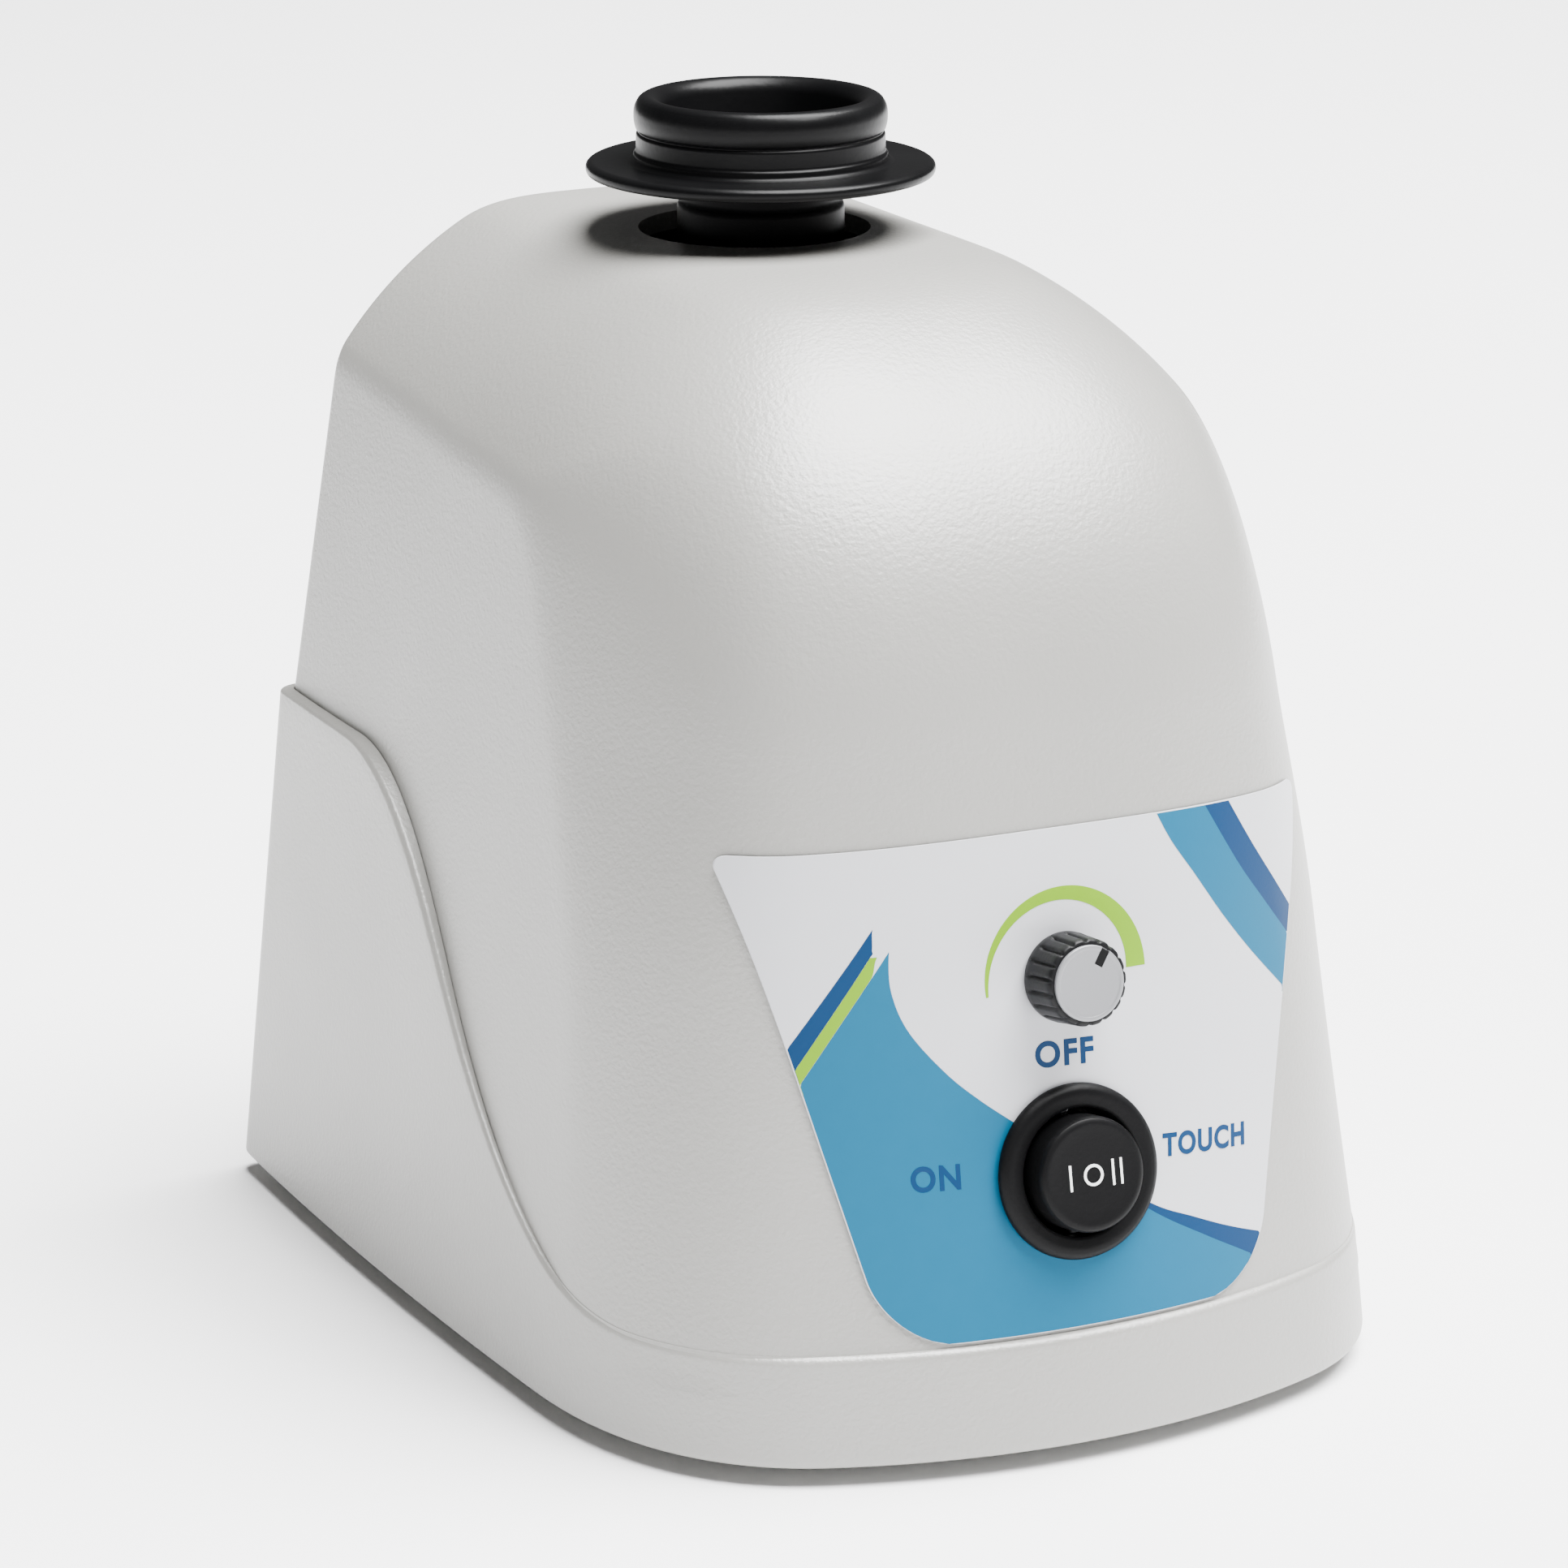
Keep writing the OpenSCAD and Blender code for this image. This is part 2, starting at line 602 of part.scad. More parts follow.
// eccentric and head
module eccentric_hub() {
  color([0.78, 0.78, 0.8]) difference() {
    union() {
      disc(13, hub_z, hub_z + hub_h, head_y);
      disc(5.2, hub_z + hub_h - 1, neck_z + 0.6, cup_y);
      disc(shaft_r, hub_z + hub_h - 1, neck_z + 18, cup_y);
    }
    disc(shaft_r, hub_z - 1, hub_z + hub_h - 1, head_y);
    translate([0, head_y, hub_z + 6]) rotate([90, 0, 0]) cylinder(r = 2, h = 20);
    disc(1.25, neck_z + 8, neck_z + 20, cup_y);
  }
}
module counterweight() {
  color([0.45, 0.46, 0.48]) translate([0, head_y, 0]) intersection() {
    ring(25, 13.02, hub_z + 1, hub_z + 9);
    block(-30, 30, 4, 30, hub_z, hub_z + 20);
  }
}
module hub_set_screw() {
  color([0.25, 0.25, 0.27]) translate([0, head_y, hub_z + 6]) rotate([90, 0, 0]) difference() {
    translate([0, 0, shaft_r + 0.05]) cylinder(r = 1.97, h = 6);
    translate([0, 0, shaft_r + 3]) cylinder(r = 1.1, h = 6, $fn = 6);
  }
}
module head_bearing_inners() {
  color([0.85, 0.85, 0.87]) translate([0, cup_y, 0]) {
    ring(5.9 - bearing_gap, shaft_r, neck_z + 0.7, neck_z + 5.7);
    ring(5.9 - bearing_gap, shaft_r, neck_z + 12.5, neck_z + 17.5);
  }
}
module head_bearing_outers() {
  color([0.6, 0.61, 0.64]) translate([0, cup_y, 0]) {
    ring(8, 5.9, neck_z + 0.7, neck_z + 5.7);
    ring(8, 5.9, neck_z + 12.5, neck_z + 17.5);
  }
}
module head_retaining_screw() {
  color([0.4, 0.4, 0.42]) translate([0, cup_y, neck_z + 18 + eps]) mirror([0, 0, 1])
    screw_up(1.2, 8, 4.6, 1.8);
}
module head_neck() {
  color([0.1, 0.1, 0.11]) translate([0, cup_y, 0]) difference() {
    disc(neck_r, neck_z, flange_z - flange_t - eps);
    disc(8.02, neck_z - 1, neck_z + 20.6);
    disc(9.5, neck_z + 22.6, flange_z + 1);
  }
}
module rubber_cup() {
  f0 = flange_z - flange_t;
  r = cup_r;
  inner = r - 4;
  seat = neck_z + 22.65;
  color([0.1, 0.1, 0.11]) translate([0, cup_y, 0]) rotate_extrude() polygon([[0, seat],
    [9.45, seat], [9.45, f0], [flange_r - 0.5, f0], [flange_r, f0 + 0.5],
    [flange_r, flange_z - 0.6], [flange_r - 0.6, flange_z], [r + 0.6, flange_z + 0.3],
    [r - 0.6, flange_z + 1.4], [r - 0.7, cup_top - 4.4], [r - 1.1, cup_top - 4],
    [r - 0.7, cup_top - 3.6], [r - 0.2, cup_top - 3], [r, cup_top - 2], [r - 0.3, cup_top - 0.9],
    [r - 1.1, cup_top - 0.2], [r - 2, cup_top], [r - 2.9, cup_top - 0.2],
    [inner + 0.3, cup_top - 0.9], [inner, cup_top - 2], [inner - 0.6, cup_top - 7],
    [8, seat + 4], [5, seat + 2.4], [0, seat + 1.8]]);
}

// touch switch
module touch_switch() {
  color([0.15, 0.15, 0.16]) difference() {
    block(-10, 10, -9.6, -3.2, carriage_z - 14, carriage_z - 4);
    translate([-3, -6.4, carriage_z - 9]) cylinder(r = 0.85, h = 10);
    for (x = [-4.8, 4.8]) translate([x, 0, carriage_z - 11]) rotate([90, 0, 0])
      cylinder(r = 1.1, h = 20);
  }
  color([0.15, 0.15, 0.16]) block(-9.5, -8.4, -9.6, -8.9, carriage_z - 4, carriage_z - 2.6);
}
module switch_bracket() {
  color([0.7, 0.71, 0.73]) difference() {
    union() {
      block(-13, 13, -3.1, -1.9, ballast_top + eps, carriage_z - 5);
      block(-13, 13, -12, -1.9, ballast_top + eps, ballast_top + 1.2);
    }
    for (x = [-4.8, 4.8]) translate([x, 0, carriage_z - 11]) rotate([90, 0, 0])
      cylinder(r = 1.1, h = 20);
  }
}
module switch_plunger() {
  color([0.85, 0.25, 0.2]) disc(0.8, carriage_z - 8.5, carriage_z - 2.6, -6.4, -3);
}
module switch_lever() {
  len = 17;
  rise = touch_travel + 0.3;
  half = 2;
  color([0.8, 0.8, 0.82]) translate([-8, -6.4, carriage_z - 3]) union() {
    rotate([0, -atan(rise / len), 0]) translate([0.2, -half, 0.1]) cube([len, 2 * half, 0.35]);
    translate([0, half + 0.4, 0]) rotate([90, 0, 0]) cylinder(r = 0.7, h = 2 * half + 0.8);
  }
}

// speed control board
module control_board() {
  color([0.1, 0.35, 0.18]) difference() {
    block(-34, 34, -46, -13.5, board_z, board_top);
    at_standoffs() disc(1.6, board_z - 1, board_top + 1);
  }
}
module at_standoffs() {
  for (s = [-1, 1], y = [-42.5, -17]) translate([s * 30, y, 0]) children();
}
module board_standoffs() {
  color([0.85, 0.75, 0.45]) at_standoffs() difference() {
    translate([0, 0, ballast_top + eps]) cylinder(r = 3.2, h = 8 - 2 * eps, $fn = 6);
    disc(1.25, ballast_top + 1, board_top);
  }
}
module board_screws() {
  color([0.7, 0.7, 0.72]) at_standoffs() translate([0, 0, board_top + eps]) mirror([0, 0, 1])
    screw_up(1.2, 6, 2.6, 1.7);
}
module filter_capacitor() {
  color([0.85, 0.65, 0.12]) difference() {
    block(-27, -11, -27, -19, board_top + eps, board_top + 14);
    for (x = [-27, -11]) translate([x, -23, board_top + 10]) rotate([0, 45, 0])
      cube([1.5, 10, 1.5], center = true);
  }
}
module filter_choke() {
  color([0.7, 0.4, 0.18]) translate([-20, -36, board_top + 4.6])
    rotate_extrude() translate([5.6, 0]) circle(r = 3);
  color([0.2, 0.2, 0.22]) disc(8.4, board_top + eps, board_top + 1.5, -36, -20);
}
module smoothing_capacitors() {
  color([0.12, 0.16, 0.3]) for (x = [-3, 8]) translate([x, -20, board_top + eps])
    rotate_extrude() polygon([[0, 0], [5, 0], [5, 1.5], [4.7, 2], [5, 2.5], [5, 15.5], [4.5, 16],
      [4, 15.7], [0, 15.7]]);
}
module heatsink() {
  color([0.6, 0.61, 0.63]) union() {
    block(19, 33, -26.5, -24.5, board_top + eps, board_top + 24);
    for (x = [19 : 3.1 : 32]) block(x, x + 1.5, -25, -20.5, board_top + 2, board_top + 24);
  }
}
module triac() {
  color([0.1, 0.1, 0.11]) block(20, 30, -31.2, -26.52, board_top + 8, board_top + 17);
  color([0.75, 0.75, 0.78]) difference() {
    block(20, 30, -27.8, -26.52, board_top + 17, board_top + 23);
    translate([25, -20, board_top + 20.5]) rotate([90, 0, 0]) cylinder(r = 1.8, h = 20);
  }
  color([0.75, 0.75, 0.78]) for (x = [22, 25, 28])
    block(x - 0.4, x + 0.4, -29, -28.4, board_top + eps, board_top + 8);
}
module terminal_block() {
  color([0.15, 0.5, 0.3]) difference() {
    block(2, 27, -43, -34, board_top + eps, board_top + 10);
    for (x = [5 : 5 : 25]) {
      disc(1.7, board_top + 6, board_top + 12, -40.5, x);
      translate([x, -37.5, board_top + 6]) cylinder(r = 1.4, h = 10);
    }
  }
}

// speed control
module pot_board() {
  color([0.1, 0.35, 0.18]) on_panel(knob_z) difference() {
    block(-18, 18, -10, 10, -16.2, -14.6);
    at_pot_screws() disc(1.5, -20, 0);
  }
}
module pot_body() {
  color([0.55, 0.56, 0.6]) on_panel(knob_z) difference() {
    union() {
      disc(8, -14.58, -7);
      disc(3.4, -8, -1);
    }
    disc(3.05, -13, 5);
  }
}
module pot_shaft() {
  color([0.8, 0.8, 0.82]) on_panel(knob_z) disc(3, -12.5, knob_h - 2);
}
module pot_screws() {
  color([0.7, 0.7, 0.72]) on_panel(knob_z) at_pot_screws() translate([0, 0, -16.22])
    screw_up(1.15, 6, 2.4, 1.5);
}
module speed_knob() {
  color([0.1, 0.1, 0.11]) on_panel(knob_z) difference() {
    union() {
      disc(knob_r, 0.7, knob_h - 0.5);
      for (a = [0 : 15 : 345]) rotate(a) translate([knob_r - 0.15, 0, 0.7])
        cylinder(r = 0.4, h = knob_h - 1.6, $fn = 6);
    }
    disc(knob_r - 0.8, knob_h - 1.2, knob_h + 1);
    disc(3.01, 0, knob_h - 1.9);
  }
}
module knob_cap() {
  color([0.72, 0.73, 0.76]) on_panel(knob_z) difference() {
    disc(knob_r - 0.82, knob_h - 1.18, knob_h);
    rotate(-pointer_angle) block(-0.65, 0.65, knob_r - 3.4, knob_r + 1, knob_h - 0.6, knob_h + 1);
  }
}
module knob_pointer() {
  color([0.05, 0.05, 0.06]) on_panel(knob_z) rotate(-pointer_angle)
    block(-0.62, 0.62, knob_r - 3.37, knob_r - 1, knob_h - 0.58, knob_h - 0.1);
}

// rocker switch, on at the left, touch at the right, off in the middle
module rocker_housing() {
  r = bezel_r;
  color([0.1, 0.1, 0.11]) on_panel(rocker_z) rotate_extrude() polygon([[0, -19], [body_r - 0.6, -19],
    [body_r - 0.1, -18.4], [body_r - 0.1, 0.55], [r, 0.55], [r, 1.5], [r - 0.5, 2.2],
    [r - 1.2, 2.4], [well_r + 0.6, 1.7], [well_r, 1.3], [well_r, -6], [0, -6]]);
}
module rocker_pin() {
  color([0.7, 0.7, 0.72]) on_panel(rocker_z) translate([0, 0, rocker_pivot])
    rotate([90, 0, 0]) translate([0, 0, -well_r + 0.1]) cylinder(r = 0.8, h = 2 * well_r - 0.2);
}
module rocker_button() {
  r = well_r - 0.85;
  color([0.1, 0.1, 0.11]) on_panel(rocker_z) difference() {
    rotate_extrude() polygon([[0, rocker_pivot - 1.6], [r - 1, rocker_pivot - 1.6], [r, rocker_pivot - 0.8],
      [r, button_h - 0.8], [r - 0.25, button_h - 0.3], [r - 0.8, button_h], [0, button_h]]);
    translate([0, 0, rocker_pivot]) rotate([90, 0, 0]) translate([0, 0, -20])
      cylinder(r = 0.86, h = 40);
  }
}
module rocker_terminals() {
  color([0.85, 0.7, 0.35]) on_panel(rocker_z) for (x = [-5, 0, 5], y = [-3.5, 3.5])
    block(x - 0.4, x + 0.4, y - 1.6, y + 1.6, -25, -19.02);
}

// mains inlet with fuse drawer
module at_inlet_screws() {
  for (s = [-1, 1]) translate([s * inlet_screw_x, 0, 0]) children();
}
module power_inlet() {
  w = inlet_w / 2 - 0.2;
  h = inlet_h / 2 - 0.2;
  color([0.1, 0.1, 0.11]) on_rear(inlet_z) difference() {
    union() {
      block(-w, w, -h, h, -14, 1);
      translate([0, 0, 0.1]) linear_extrude(2) polygon([[-20, -16.6], [20, -16.6], [24.5, -9],
        [24.5, 9], [20, 16.6], [-20, 16.6], [-24.5, 9], [-24.5, -9]]);
    }
    translate([0, 0, -12]) linear_extrude(20) polygon([[-10.5, -2.5], [10.5, -2.5], [10.5, 8],
      [7, 11.8], [-7, 11.8], [-10.5, 8]]);
    block(-10.6, 10.6, -13.6, -5.4, -12, 8);
    at_inlet_screws() disc(1.7, -2, 4);
    for (p = pin_spots)
      translate([p.x, p.y, 0]) block(-0.55, 0.55, -2.05, 2.05, -15, -11);
  }
}
module inlet_pins() {
  color([0.85, 0.75, 0.45]) on_rear(inlet_z) for (p = pin_spots)
    translate([p.x, p.y, 0]) block(-0.5, 0.5, -2, 2, -16.8, -2);
}
module inlet_screws() {
  color([0.7, 0.7, 0.72]) on_rear(inlet_z) at_inlet_screws() translate([0, 0, 2.12])
    mirror([0, 0, 1]) screw_up(inlet_screw_r, 6.6, 2.8, 1);
}
module fuse_drawer() {
  color([0.13, 0.13, 0.14]) on_rear(inlet_z) difference() {
    block(-10.5, 10.5, -13.5, -5.5, -11.5, 2.3);
    block(-10, 10, -12.4, -4, -10.8, -3.6);
    translate([0, -14.2, 2.4]) rotate([0, 90, 0]) translate([0, 0, -4]) cylinder(r = 1.6, h = 8);
  }
}
module fuse() {
  color([0.85, 0.85, 0.9]) on_rear(inlet_z) translate([0, -9.4, -7.2]) rotate([0, 90, 0])
    rotate_extrude() polygon([[0, -9.6], [2.6, -9.6], [2.6, -5], [2.3, -5], [2.3, 5], [2.6, 5],
      [2.6, 9.6], [0, 9.6]]);
}

// leads: mains to the board, rocker to the board, board to the motor
module lead(p, r) {
  sweep(spline(p, 4), r, 7, [1, 0.17, 0.11]);
}
module wiring() {
  by = -37.5;
  bz = board_top + 10.05;
  tz = inlet_z + 0.4;
  low = ballast_top + 3.5;
  color([0.15, 0.2, 0.55]) lead([[6.5, 55.4, tz], [9, 50, tz - 6], [19, 44, low + 2], [22, 36, low],
    [22, 5, low], [20, -7, low + 1.5], [16.9, -13, low + 9], [16.2, -22, low + 15],
    [15.2, -31, low + 21], [15, by, bz + 3], [15, by, bz - 3]], 0.9);
  color([0.5, 0.3, 0.15]) lead([[-6.5, 55.4, tz], [-4, 50, tz - 6], [12, 48, low + 2], [18, 38, low],
    [18.5, 5, low], [17, -7, low + 1.5], [14.7, -13, low + 9], [14.4, -22, low + 16.5],
    [12, -31, low + 22], [10, by, bz + 3], [10, by, bz - 3]], 0.9);
}

upper_housing();
lower_housing();
panel_overlay();
ballast_plate();
feet();
foot_screws();
housing_screws();
guide_posts();
touch_springs();
carriage_plate();
guide_bushes();
motor_can();
motor_cap_lower();
motor_cap_upper();
motor_screws();
stator_core();
stator_windings();
rotor_core();
motor_shaft();
motor_bearing_outers();
motor_bearing_inners();
cooling_fan();
eccentric_hub();
counterweight();
hub_set_screw();
head_bearing_inners();
head_bearing_outers();
head_retaining_screw();
head_neck();
rubber_cup();
touch_switch();
switch_bracket();
switch_plunger();
switch_lever();
control_board();
board_standoffs();
board_screws();
filter_capacitor();
filter_choke();
smoothing_capacitors();
triac();
heatsink();
terminal_block();
pot_board();
pot_body();
pot_shaft();
pot_screws();
speed_knob();
knob_cap();
knob_pointer();
rocker_housing();
rocker_pin();
rocker_button();
rocker_terminals();
power_inlet();
inlet_pins();
inlet_screws();
fuse_drawer();
fuse();
wiring();
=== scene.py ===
import math

import bpy
import numpy as np
from mathutils import Matrix, Vector


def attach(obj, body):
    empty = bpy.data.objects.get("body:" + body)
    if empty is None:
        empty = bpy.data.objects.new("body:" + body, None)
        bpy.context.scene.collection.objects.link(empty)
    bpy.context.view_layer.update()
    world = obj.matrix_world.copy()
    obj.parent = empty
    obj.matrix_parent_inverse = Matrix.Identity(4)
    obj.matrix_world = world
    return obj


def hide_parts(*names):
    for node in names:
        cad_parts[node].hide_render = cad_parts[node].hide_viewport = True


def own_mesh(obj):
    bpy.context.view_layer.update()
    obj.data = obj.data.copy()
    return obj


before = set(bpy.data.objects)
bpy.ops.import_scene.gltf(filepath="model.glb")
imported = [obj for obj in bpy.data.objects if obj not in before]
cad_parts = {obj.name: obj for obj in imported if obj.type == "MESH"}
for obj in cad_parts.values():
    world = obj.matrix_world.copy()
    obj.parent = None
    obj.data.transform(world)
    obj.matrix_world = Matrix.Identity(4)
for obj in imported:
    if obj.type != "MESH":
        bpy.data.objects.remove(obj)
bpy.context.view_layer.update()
MM = 0.001

# ---------------------------------------------------------------- camera

VIEW_AZIMUTH = math.radians(-26.38)
VIEW_ELEVATION = math.radians(15.67)
VIEW_DISTANCE = 0.822
VIEW_PIVOT = Vector((0, 0.005, 0.075))
VIEW_AIM = Vector((-0.00515, 0.005, 0.07044))
VIEW_LENS = 136.8


def make_camera():
    back = Vector((math.sin(VIEW_AZIMUTH) * math.cos(VIEW_ELEVATION),
                   -math.cos(VIEW_AZIMUTH) * math.cos(VIEW_ELEVATION), math.sin(VIEW_ELEVATION)))
    camera = bpy.data.objects.new("camera", bpy.data.cameras.new("camera"))
    camera.data.lens = VIEW_LENS
    camera.location = VIEW_PIVOT + back * VIEW_DISTANCE
    camera.rotation_euler = (VIEW_AIM - camera.location).to_track_quat("-Z", "Y").to_euler()
    bpy.context.scene.collection.objects.link(camera)
    bpy.context.scene.camera = camera


make_camera()

# ---------------------------------------------------------------- shape of the housing, as in the CAD source

# overall: half width, rear and front at the floor, wall and how far the base tub stands proud
side_half, rear_y, front_y = 58.9, 77.9, 78.2
panel_lean, front_bow, pad_z = 0.266, 99, 144.6
proud, wall = 1.6, 2.6
mid_y, foot_z = 5, 2.6

# cup head and controls
head_y, orbit, hole_r = 24.8, 2, 16
flange_z, flange_t, flange_r, cup_r, cup_h = 154.2, 1.8, 24, 17.4, 9
neck_z, neck_r = 122.5, 11.5
knob_z, knob_r, knob_h, shaft_hole_r = 62.4, 5.8, 7.8, 3.6
rocker_z, bezel_r = 37.3, 11.5
well_r, body_r = bezel_r - 3.1, bezel_r - 1.4
cup_y, cup_top = head_y - orbit, flange_z + cup_h

# parting line, side walls and dome
lip_low, lip_high, lip_mid_y, lip_slope = 17.1, 75.2, 0.4, 1.407
lip_soft_high, lip_soft_low = 26, 43.2
side_ref_z = (lip_low + lip_high) / 2
side_ref = side_half - 2.6
side_draft_low, side_draft_high, side_flare, side_crown = 0.057, 0.086, 0.017, 1.65
side_twist, twist_y0, side_swell, swell_y0, wall_y1 = 0.055, -30, 0.45, 20, 60
rear_lean_low, rear_lean_high, tub_front_lean = 0.126, 0.045, 0.159
dome_x, dome_front, dome_rear, dome_y, dome_z = 56.2, 70.7, 351, 12, 92.7
dome_h = pad_z - 88
dome_plan_exp, dome_arch_exp, dome_blend = 3.02, 1.99, 21
skirt_top, skirt_soft = 91.6, 30
corner_front, corner_rear, corner_y0, corner_y1 = 17.6, 1.2, -44.5, -4
rear_round, tub_corner, tub_rear_round, pad_round = 2.5, 20.2, 4, 3
tongue, tongue_gap, tub_wall, floor_t = 5, 0.08, 3.2, 3
floor_top = foot_z + floor_t

# printed film: its top corners droop and its left edge stands out a little
film_low, film_high = lip_low + 0.5, 81.4
film_gap, film_t = 0.2, 0.22
film_foot_half, film_top_half, film_corner, film_corner_top = 27.2, 42, 9, 2
film_droop, film_left = 1.1, 1.0

# places of the inlet, of the screws and of what stands on the base
inlet_z, inlet_screw_x = 34, 20
foot_x, foot_front_y, foot_rear_y = 38, -46, 60
boss_x, boss_front_y, boss_rear_y, boss_top, boss_web_x = 45, -12, 44, 104, 49
pot_screw_x = 14
ballast_top, carriage_z, touch_travel = 13.7, 38, 2

# the shells are traced from an eye on the head axis, with a rear corner in the direction corner_a
eye_z, corner_a = 60, 38.2
TINY = 0.000001


def smax(a, b, k):
    h = np.maximum(k - np.abs(a - b), 0) / k
    return np.maximum(a, b) + h * h * k / 4


def smin(a, b, k):
    return -smax(-a, -b, k)


def ramp(v, a, b):
    t = np.clip((v - a) / (b - a), 0, 1)
    return t * t * (3 - 2 * t)


def side_x(y, z, tub):
    p = y - mid_y
    w = side_ref + side_flare * p - side_crown * (p / 60) ** 2
    if tub:
        return w + proud - side_draft_low * (z - side_ref_z)
    return (w - side_draft_high * (z - side_ref_z) + side_swell * ramp(p, swell_y0, wall_y1)
            - side_twist * ramp(p, twist_y0, wall_y1) * np.maximum(z - lip_high, 0))


def front_d(x, y, z, tub):
    if tub:
        nose = -front_y + panel_lean * lip_low - proud + tub_front_lean * (z - lip_low)
    else:
        nose = -front_y + panel_lean * z
    c = nose + front_bow
    return np.where(y < c, np.sqrt(x * x + (y - c) ** 2), np.abs(x)) - front_bow


def dome_d(x, y, z):
    v = y - dome_y
    ay = np.where(v < 0, dome_front, dome_rear)
    a = np.abs(x) / dome_x + TINY
    b = np.abs(v) / ay + TINY
    c = np.maximum(z - dome_z, 0) / dome_h + TINY
    h = (a ** dome_plan_exp + b ** dome_plan_exp) ** (1 / dome_plan_exp)
    q = (h ** dome_arch_exp + c ** dome_arch_exp) ** (1 / dome_arch_exp)
    s = (h / q) ** (dome_arch_exp - 1)
    ga = (a / h) ** (dome_plan_exp - 1) * s / dome_x
    gb = (b / h) ** (dome_plan_exp - 1) * s / ay
    gc = (c / q) ** (dome_arch_exp - 1) / dome_h
    return (q - 1) / (np.sqrt(ga * ga + gb * gb + gc * gc) + TINY)


def side_d(x, y, z):
    return np.abs(x) - side_x(y, z, False)


def back_d(y, z):
    return y - (rear_y - rear_lean_low * lip_high - proud - rear_lean_high * (z - lip_high))


def crown_d(x, y, z):
    return smin(dome_d(x, y, z), smax(front_d(x, y, z, False), z - skirt_top, skirt_soft), dome_blend)


def upper_d(x, y, z):
    k = corner_front + (corner_rear - corner_front) * ramp(y, corner_y0, corner_y1)
    v = smax(crown_d(x, y, z), side_d(x, y, z), k)
    return smax(smax(v, back_d(y, z), rear_round), z - pad_z, pad_round)


def tub_d(x, y, z):
    side = np.abs(x) - side_x(y, z, True)
    back = y - (rear_y - rear_lean_low * z)
    return smax(smax(front_d(x, y, z, True), side, tub_corner), back, tub_rear_round)


def halve(low, high, inside, steps=24):
    """The value between low and high, for each entry, at which inside stops being true."""
    low, high = np.array(low, float), np.array(high, float)
    for _ in range(steps):
        middle = (low + high) / 2
        keep = inside(middle)
        low = np.where(keep, middle, low)
        high = np.where(keep, high, middle)
    return (low + high) / 2


def reach(start, way, tub, off):
    """Distance along each ray at which the housing's surface, moved out by off, is met."""
    shape = tub_d if tub else upper_d

    def inside(t):
        p = start + way * t[..., None]
        return shape(p[..., 0], p[..., 1], p[..., 2]) < off
    size = way.shape[:-1]
    return halve(np.zeros(size), np.full(size, 160.0), inside)


def at_height(angles, z, tub, off):
    way = np.stack([np.cos(angles), np.sin(angles), np.zeros_like(angles)], -1)
    start = np.stack([np.zeros_like(angles), np.full_like(angles, head_y), z + np.zeros_like(angles)], -1)
    return start + way * reach(start, way, tub, off)[..., None]


def lip_at(y):
    rise = side_ref_z + lip_slope * (y - lip_mid_y)
    return smax(lip_low, smin(lip_high, rise, lip_soft_high), lip_soft_low)


def lip_z(angles):
    """Height of the parting line in each direction round the head axis."""
    size = angles.shape
    return halve(np.full(size, 10.0), np.full(size, 80.0),
                 lambda m: m < lip_at(at_height(angles, m, True, 0)[..., 1]), 18)


def ray(angles, rise):
    return np.stack([np.cos(rise) * np.cos(angles), np.cos(rise) * np.sin(angles), np.sin(rise)], -1)


def edge_rise(angles):
    """Elevation at which the walls meet the dome, seen from the middle of the housing."""
    eye = np.array([0, head_y, eye_z])

    def below(m):
        way = ray(angles, m)
        p = eye + way * reach(eye + 0 * way, way, False, 0)[..., None]
        x, y, z = p[..., 0], p[..., 1], p[..., 2]
        return crown_d(x, y, z) < np.maximum(side_d(x, y, z), back_d(y, z))
    size = angles.shape
    return halve(np.full(size, math.radians(24)), np.full(size, math.radians(76)), below, 16)


def front_at(x, z, off):
    """Depth at which the panel's surface, moved out by off, lies at each x and z."""
    x, z = np.broadcast_arrays(np.asarray(x, float), np.asarray(z, float))
    return halve(np.zeros(x.shape), np.full(x.shape, -130.0), lambda y: upper_d(x, y, z) < off)


# ---------------------------------------------------------------- places on the panel and on the rear wall


def panel_place(z):
    """Frame on the panel: local Z leaves it and local Y runs up it."""
    low, high = front_at(0, z - 2, 0), front_at(0, z + 2, 0)
    tilt = math.atan(float(high - low) / 4)
    return Matrix.Translation((0, float(front_at(0, z, 0)), z)) @ Matrix.Rotation(math.pi / 2 - tilt, 4, "X")


def rear_place(z):
    """Frame on the rear wall: local Z leaves it and local Y runs up it."""
    tilt = math.atan(rear_lean_low)
    return (Matrix.Translation((0, rear_y - rear_lean_low * z, z))
            @ Matrix.Rotation(tilt - math.pi / 2, 4, "X") @ Matrix.Rotation(math.pi, 4, "Z"))


KNOB_PLACE = panel_place(knob_z)
ROCKER_PLACE = panel_place(rocker_z)
REAR_PLACE = rear_place(inlet_z)
CUP_PLACE = Matrix.Translation((0, cup_y, 0))

# ---------------------------------------------------------------- making pieces


def new_object(name, points, faces, place=Matrix.Identity(4), smooth_angle=32):
    points = np.asarray(points, float).reshape(-1, 3)
    turn, move = np.array(place)[:3, :3], np.array(place)[:3, 3]
    mesh = bpy.data.meshes.new(name)
    mesh.from_pydata(((points @ turn.T + move) * MM).tolist(), [], faces)
    mesh.validate()
    mesh.shade_smooth()
    mesh.set_sharp_from_angle(angle=math.radians(smooth_angle))
    made = bpy.data.objects.new(name, mesh)
    bpy.context.scene.collection.objects.link(made)
    return made


